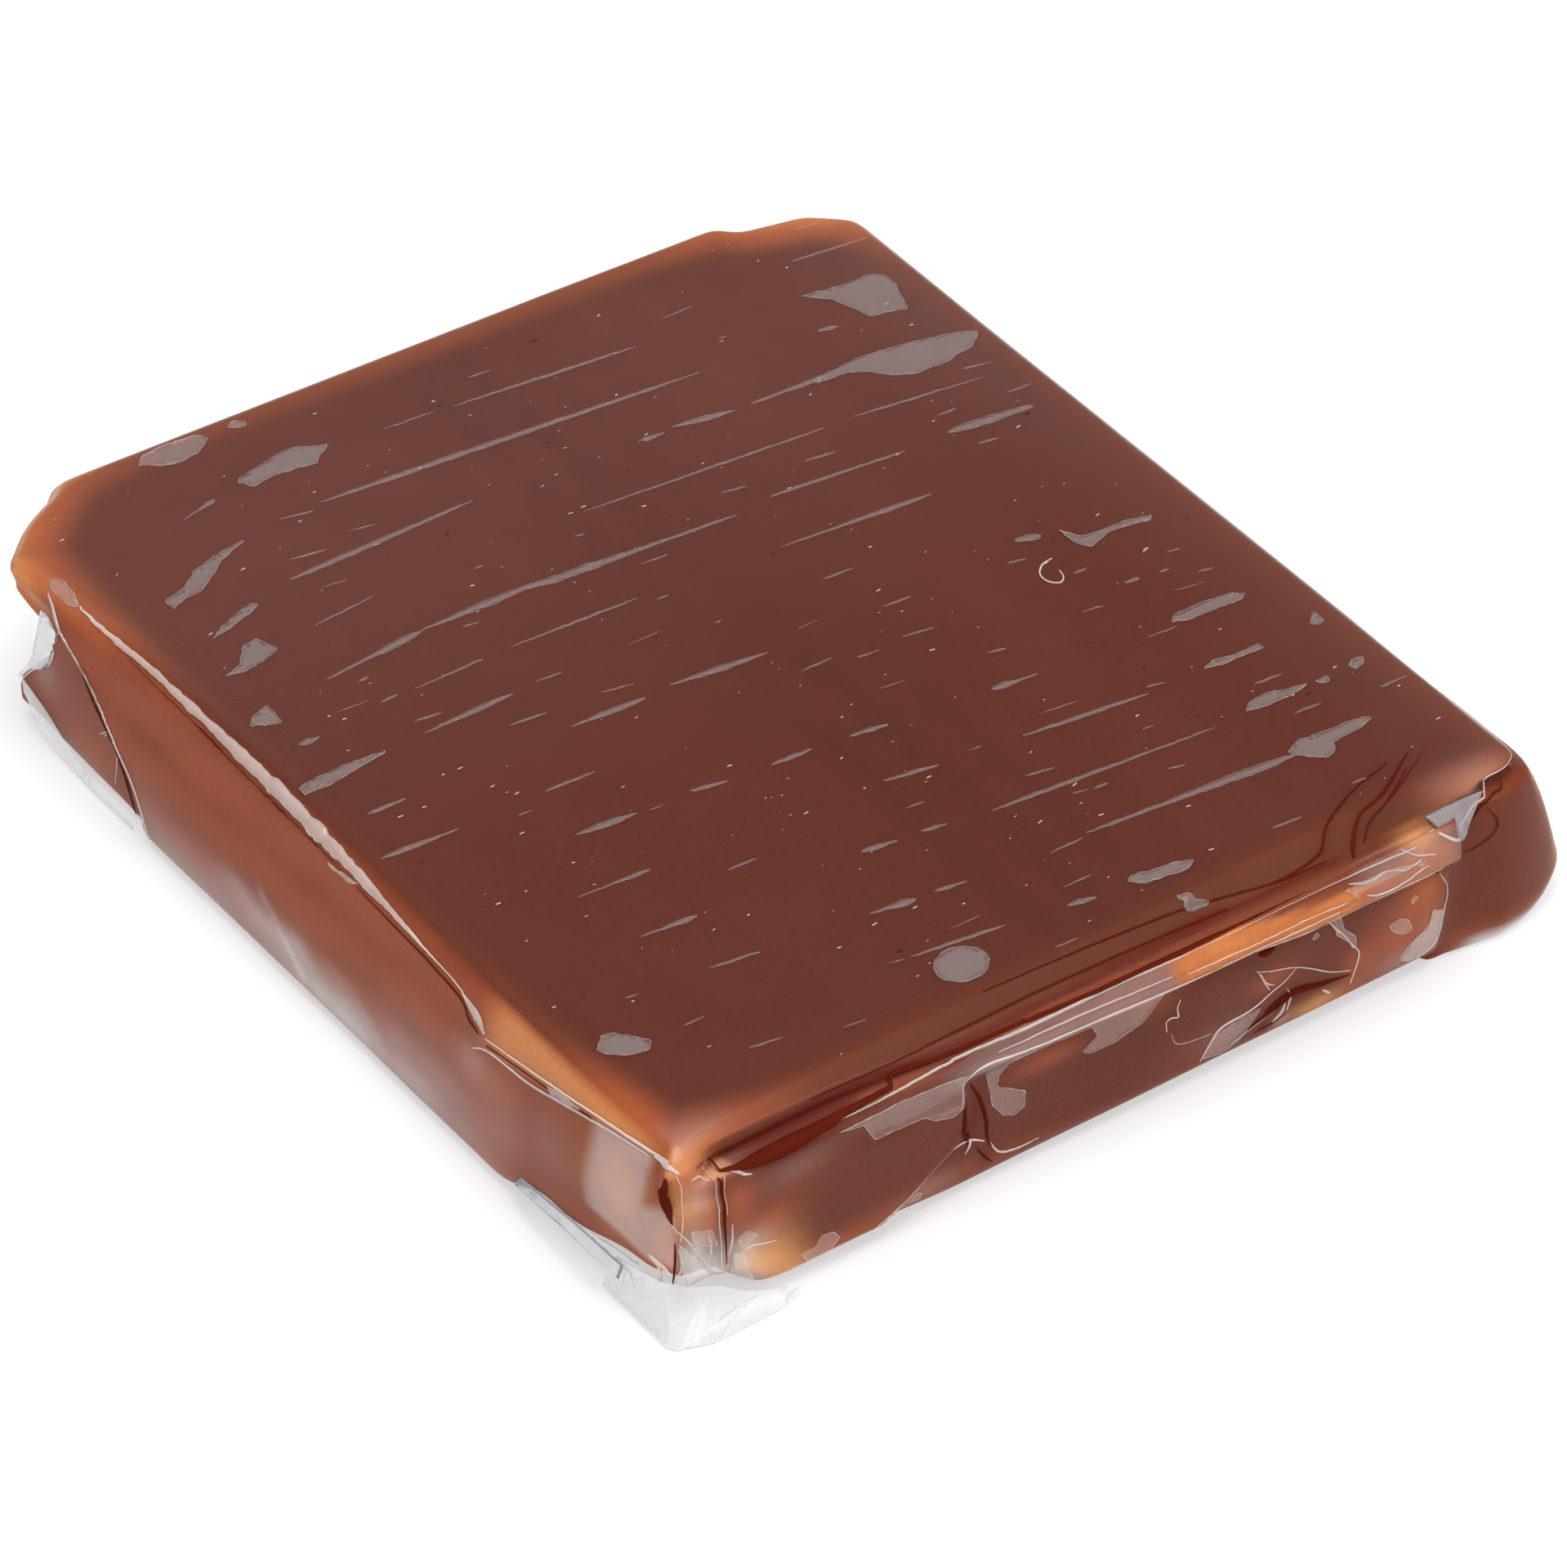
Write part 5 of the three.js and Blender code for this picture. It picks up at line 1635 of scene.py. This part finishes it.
# Painted shade in the film's folds and creases.
shadeLines = [
    # shade under the bridged edge, beside the tucked fold and under its top
    roughened(0.8, 39, [(-17.45, 12.4, 6.9, 0.01), (-17.5, 10.0, 6.85, 0.02), (-17.5, 7.6, 6.8, 0.03),
        (-17.55, 5.2, 6.7, 0.02), (-17.55, 2.6, 6.62, 0.03), (-17.6, 0.0, 6.6, 0.02),
        (-17.75, -1.6, 6.6, 0.02)]),
    [(-17.8, -2.2, 6.6, 0.02), (-17.9, -4.4, 6.55, 0.03), (-17.9, -7.0, 6.45, 0.04),
     (-18.0, -8.8, 6.3, 0.05), (-18.05, -9.3, 5.9, 0.05), (-18.1, -10.0, 5.7, 0.03)],
    [(-18.1, -10.5, 5.55, 0.03), (-18.05, -13.4, 6.0, 0.03), (-18.0, -16.4, 6.5, 0.03)],
    [(-18.0, 14.8, 5.0, 0.03), (-18.1, 14.2, 4.3, 0.06), (-18.2, 13.0, 3.3, 0.09), (-18.2, 12.4, 2.4, 0.11),
     (-18.2, 12.0, 1.4, 0.09), (-18.2, 11.7, 0.5, 0.05)],
    atLeft(-17.9, (15.0, 6.1, 0.03), (15.6, 6.15, 0.09), (16.2, 6.1, 0.05)),
    [(-17.8, 16.2, 5.9, 0.03), (-17.8, 16.8, 4.7, 0.05), (-17.9, 17.3, 3.7, 0.04),
     (-18.0, 18.4, 2.9, 0.03)],
    # painted shade lines beside the ledge on the top face
    [(9.3, -20.9, 7.1, 0.02), (7.2, -20.8, 7.15, 0.04), (3.8, -20.3, 7.4, 0.04), (1.4, -20.1, 7.45, 0.04),
     (-1.2, -19.95, 7.5, 0.03), (-4.5, -19.8, 7.5, 0.02)],
    [(5.1, -20.9, 7.1, 0.03), (1.6, -20.75, 7.2, 0.04), (-1.8, -20.65, 7.25, 0.04),
     (-5.2, -20.6, 7.2, 0.04), (-8.5, -20.55, 7.1, 0.03), (-12, -20.5, 7.1, 0.02)],
    [(14.0, -18.4, 7.5, 0.02), (12.0, -18.9, 7.5, 0.045), (10.2, -19.8, 7.45, 0.05),
     (9.3, -20.6, 7.3, 0.06), (8.0, -20.8, 7.2, 0.05), (7.2, -20.8, 7.2, 0.03)],
    [(14.9, -18.4, 7.5, 0.03), (12.9, -19.55, 7.5, 0.07), (11.5, -20.0, 7.45, 0.06),
     (10.6, -20.8, 7.2, 0.08), (10.4, -21.2, 6.9, 0.04)],
    [(15.3, -18.7, 7.5, 0.01), (13.2, -19.8, 7.5, 0.03), (11.7, -20.35, 7.4, 0.04),
     (11.0, -20.9, 7.1, 0.03)],
    [(14.4, -19.0, 7.5, 0.02), (13.6, -19.5, 7.5, 0.03), (12.2, -20.2, 7.4, 0.03)],
    # painted shadow where the plate's right near corner stands over the lobe
    [(18.5, -19.6, 6.95, 0.02), (18.3, -20.5, 6.95, 0.03), (17.4, -20.95, 6.9, 0.04),
     (16.5, -21.3, 6.8, 0.05), (15.9, -21.6, 6.3, 0.06), (15.4, -21.6, 5.7, 0.06),
     (14.7, -21.7, 4.8, 0.03)],
    # painted shade in the gully behind the ledge
    [(-16.1, -20.9, 6.8, 0.04), (-15.2, -21.0, 6.4, 0.16), (-14.2, -21.0, 6.25, 0.32),
     (-13.2, -21.0, 6.25, 0.34), (-12.0, -21.0, 6.4, 0.26), (-10.6, -21.0, 6.6, 0.15),
     (-8.9, -21.1, 6.8, 0.10), (-5.6, -21.2, 6.9, 0.09), (-2.2, -21.3, 6.95, 0.09), (1.2, -21.4, 7.0, 0.12),
     (3.6, -21.4, 7.0, 0.15), (5.2, -21.4, 6.95, 0.08), (8.0, -21.4, 6.9, 0.02)],
    # painted shade in the wedges of the pleat
    atEnd(-21.4, (-6.1, 4.9, 0.03), (-6.2, 4.2, 0.10), (-6.1, 3.4, 0.18), (-6.0, 2.8, 0.14),
        (-5.9, 2.3, 0.03)),
    atEnd(-21.4, (-5.9, 5.1, 0.02), (-5.5, 4.2, 0.06), (-5.2, 3.2, 0.07), (-5.1, 2.3, 0.05),
        (-4.9, 1.7, 0.02)),
    atEnd(-21.4, (-5.5, 1.9, 0.02), (-5.2, 1.4, 0.05), (-4.8, 0.9, 0.02)),
    # painted shade in the creases of the folded corner
    [(-16.15, -21.2, 6.7, 0.03), (-16.1, -21.3, 5.8, 0.07), (-16.1, -21.3, 4.6, 0.06),
     (-16.05, -21.3, 3.6, 0.04), (-16.0, -21.3, 2.6, 0.02)],
    atLeft(-18.0, (-20.7, 7.0, 0.04), (-20.6, 6.2, 0.22), (-20.8, 5.6, 0.16), (-21.0, 5.1, 0.03)),
    atLeft(-18.0, (-21.1, 4.3, 0.03), (-21.1, 3.4, 0.05), (-21.0, 2.5, 0.03)),
    # painted shade in the crumpled lower right part
    atEnd(-21.5, (6.6, 1.9, 0.03), (7.3, 2.2, 0.12), (8.0, 2.25, 0.17), (8.8, 2.05, 0.12), (9.6, 1.9, 0.07),
        (10.3, 1.8, 0.03)),
    atEnd(-21.5, (5.2, 1.2, 0.02), (6.2, 1.6, 0.07), (7.2, 1.9, 0.08), (7.9, 2.2, 0.03)),
    atEnd(-21.5, (6.2, 1.1, 0.02), (7.0, 1.2, 0.05), (7.6, 1.4, 0.02)),
    [(16.3, -21.2, 6.2, 0.01), (16.75, -21.2, 5.45, 0.03), (16.55, -21.2, 4.95, 0.03),
     (15.8, -21.2, 4.65, 0.025), (15.0, -21.3, 4.6, 0.01)],
    [(6.1, -21.5, 4.9, 0.05), (6.4, -21.6, 4.85, 0.16), (6.8, -21.6, 4.9, 0.05)],
    [(12.3, -22.0, 5.35, 0.03), (13.2, -21.9, 5.15, 0.13), (13.9, -21.7, 4.8, 0.03)],
]
lineLook = {
    "spacing": 0.11,
    "flatness": 0.4,
    "lift": 0.0,
    "ragged": 0.6,
    "grain": 0.6,
    "wander": 0.05,
    "seed": 5.0,
    "sides": 6,
}
darkLook = dict(lineLook, flatness=0.15, lift=0.01, seed=8.0)
# painted highlights on the folds, with the white specks
brightFolds = layRibbons("brightFolds", highlightLines + lightSpecks, "highlightAndSpeck", lineLook)
# pale film edges and creases, with a painted glint
paleFolds = layRibbons("paleFolds", paleLines, "paleFold", lineLook)
# painted shade in the folds, with the dark specks
darkFolds = layRibbons("darkFolds", shadeLines + darkSpecks, "shadeAndSpeck", darkLook)


# Loose film: thin sheets between the line where they leave the wrapper and their free edge.
sheetLook = {
    "rows": 14,
    "spacing": 0.16,
    "angular": False,
    "crinkle": 0.10,
    "grain": 0.9,
    "thickness": 0.02,
    "haze": (0.06, 0.24),
    "edgeHaze": 0.5,
    "creases": 0.45,
    "creaseWidth": 0.14,
    "waves": 6,
    "clearance": 0.03,
}


# Points at even steps along a path.
def evenly(path, count):
    along = lengths(path)
    want = np.linspace(0, along[-1], count)
    return np.stack([np.interp(want, along, path[:, k]) for k in range(3)], axis=1)


def looseSheet(name, material, root, edge, **changes):
    values = dict(sheetLook, **changes)
    if values["angular"]:
        a, b = np.array(root, float), np.array(edge, float)
    else:
        a, b = smoothPath(root, 0.05), smoothPath(edge, 0.05)
    rows, count = values["rows"], int(max(distances(a).sum(), distances(b).sum()) / values["spacing"]) + 2
    a, b = evenly(a, count), evenly(b, count)
    t = np.linspace(0, 1, rows)[:, None]
    grid = a[None] * (1 - t[..., None]) + b[None] * t[..., None]
    chance = random.Random(len(name) * 7 + count)
    draws = range(values["waves"])
    turns = [(chance.uniform(-4, 4), chance.uniform(-4, 4), chance.uniform(0, 6.3)) for _ in draws]
    u = np.linspace(0, 1, count)[None, :] * distances(a).sum()
    v = t * np.linalg.norm(b.mean(axis=0) - a.mean(axis=0))
    waves = [np.sin((u * p + v * q) / values["grain"] + r) for p, q, r in turns]
    height = sum(np.abs(wave) for wave in waves) / len(waves) - 0.64  # their mean height is 0.64
    across = np.cross(b - a, np.gradient(a, axis=0))
    across /= np.maximum(np.linalg.norm(across, axis=1, keepdims=True), 1e-6)
    strength = values["crinkle"] * np.sin(t * 2.2)
    grid = grid + across[None] * (height * strength)[..., None]
    grid[..., 2] = np.maximum(grid[..., 2], values["clearance"])
    starts = [row * count + k for row in range(rows - 1) for k in range(count - 1)]
    faces = [(i, i + 1, i + count + 1, i + count) for i in starts]
    piece = addMesh(name, toMetres(grid.reshape(-1, 3)).tolist(), faces, materials[material])
    # whiter towards the free edge, and painted highlights along the creases
    thin, thick = values["haze"]
    ridges = np.max([bell(wave, 0, values["creaseWidth"]) for wave in waves], axis=0)
    patchy = 0.5 + 0.5 * np.sin(u * 1.3 + v * 2.1 + turns[0][2])
    crease = thin + (thick - thin) * ramp(0.0, 0.6, t)
    crease = crease + values["creases"] * ridges * patchy * ramp(0.05, 0.3, t)
    crease = np.maximum(crease, values["edgeHaze"] * ramp(0.93, 1.0, t)).astype(np.float32)
    piece.data.attributes.new("crease", "FLOAT", "POINT").data.foreach_set("value", crease.ravel())
    thicken(piece, values["thickness"], 0)
    return piece


sheets = [
    looseSheet(
        "cornerSkirt", "whiteFilm",
        [(-18.4, -18.4, 2.1), (-18.5, -19.6, 2.5), (-18.3, -20.8, 2.7), (-17.6, -21.4, 2.5),
         (-16.6, -21.6, 2.2), (-15.6, -21.6, 1.4), (-14.4, -21.6, 0.8), (-13.3, -21.5, 0.4)],
        [(-18.4, -17.5, 0.1), (-18.4, -19.4, 0.05), (-18.4, -21.2, 0.05), (-18.2, -21.5, 0.05),
         (-17.0, -21.9, 0.05), (-15.5, -21.9, 0.05), (-14.0, -21.9, 0.05), (-13.3, -21.6, 0.05)],
        crinkle=0.12, grain=2.4, rows=44, spacing=0.06, angular=True, haze=(0.05, 0.2), creases=0.36,
    ),
    looseSheet(
        "lowStrip", "looseFilm",
        [(-18.3, -12.4, 0.9), (-18.4, -12.8, 1.5), (-18.4, -15.8, 1.8), (-18.4, -18.8, 2.0)],
        [(-18.5, -12.3, 0.6), (-18.6, -12.7, 1.2), (-18.7, -15.8, 1.5), (-18.7, -18.9, 1.6)],
        crinkle=0.02, rows=5, angular=True,
    ),
    looseSheet(
        "leftFin", "whiteFilm",
        [(-18.0, 15.9, 6.3), (-18.0, 16.7, 4.4), (-18.1, 17.6, 3.4), (-18.1, 18.4, 2.9),
         (-18.1, 19.1, 2.1)],
        [(-18.1, 17.4, 6.2), (-18.2, 17.8, 4.6), (-18.2, 18.2, 3.5), (-18.2, 19.1, 2.3),
         (-18.2, 19.2, 2.05)],
        crinkle=0.08, grain=1.8, rows=18, spacing=0.08,
    ),
    looseSheet(
        "tuckSkirt", "whiteFilm",
        [(-18.1, 19.1, 2.05), (-18.1, 17.5, 1.5), (-18.15, 16.2, 0.95), (-18.2, 14.8, 0.57),
         (-18.2, 13.7, 0.35), (-18.25, 11.8, 0.3)],
        [(-18.2, 18.9, 1.6), (-18.25, 17.6, 0.65), (-18.25, 16.0, 0.2), (-18.3, 14.6, 0.1),
         (-18.3, 13.0, 0.08), (-18.3, 11.6, 0.08)],
        crinkle=0.04, grain=2.4, rows=18, spacing=0.08, haze=(0.05, 0.14), creases=0.18,
    ),
    looseSheet(
        "ledgeTip", "greyFilm",
        [(13.6, -20.95, 7.0), (14.8, -20.95, 7.0), (16.2, -20.95, 6.9)],
        [(14.1, -21.9, 6.35), (14.6, -21.9, 6.1), (15.2, -21.5, 6.3)],
        crinkle=0.12, rows=10,
    ),
]
print("folds, pockets and loose film laid")


# Floor and light.
studio = {
    "floor": 0.6,
    "floorShade": 0.42,
    "floorGlow": 0.5,  # keeps the shadow at the foot pale
    "horizon": 0.12,
    "sky": 0.35,
    "zenith": 0.9,
}


def makeStudio(values):
    look = newFinish("floor")
    shade = look.noise(look.place(), 90, 2) * 0.02 + (values["floorShade"] - 0.01)
    floorFinish = look.finish(look.node("ShaderNodeBsdfPrincipled", {}, {
        "Base Color": look.node("ShaderNodeCombineColor", {}, (shade, shade, shade)),
        "Roughness": 0.9,
        "Specular IOR Level": 0.1,
        "Emission Color": (1, 1, 1, 1),
        "Emission Strength": values["floorGlow"],
    }))
    half = values["floor"] / 2
    corners = [(-half, -half, 0), (half, -half, 0), (half, half, 0), (-half, half, 0)]
    addMesh("floor", corners, [(0, 1, 2, 3)], floorFinish)
    world = bpy.data.worlds.new("studio")
    bpy.context.scene.world = world
    sky = Finish(world)
    spot = sky.node("ShaderNodeTexCoord", output="Generated")
    height = sky.node("ShaderNodeSeparateXYZ", {}, (spot,), "Z")
    levels = ((0.0, "horizon"), (0.64, "sky"), (1.0, "zenith"))
    stops = [(position, (values[key],) * 3) for position, key in levels]
    shades = sky.node("ShaderNodeValToRGB", {"stops": stops}, (height,))
    sky.node("ShaderNodeOutputWorld", {}, (sky.node("ShaderNodeBackground", {}, (shades,)),))


def areaLight(name, place, size, power):
    data = bpy.data.lights.new(name, "AREA")
    data.shape = "RECTANGLE"
    data.size = data.size_y = size
    data.energy = power
    aim(addObject(name, data), place, (0, 0, 0))


makeStudio(studio)
areaLight("overhead", (0.0, -0.05, 0.5), 0.35, 2.2)
areaLight("leftFill", (-0.45, -0.1, 0.3), 0.3, 0.85)
areaLight("nearFill", (0.12, -0.5, 0.25), 0.35, 1.3)
bpy.context.scene.view_settings.view_transform = "Standard"
print("floor and light set")


airPockets = [topAir, endAir, endPanels, leftAir, airStreaks, airRims]
foldLines = [brightFolds, paleFolds, darkFolds]
for piece in [caramel, film] + airPockets + foldLines + sheets:
    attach(piece, "root")
    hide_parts("wrapped_caramel")
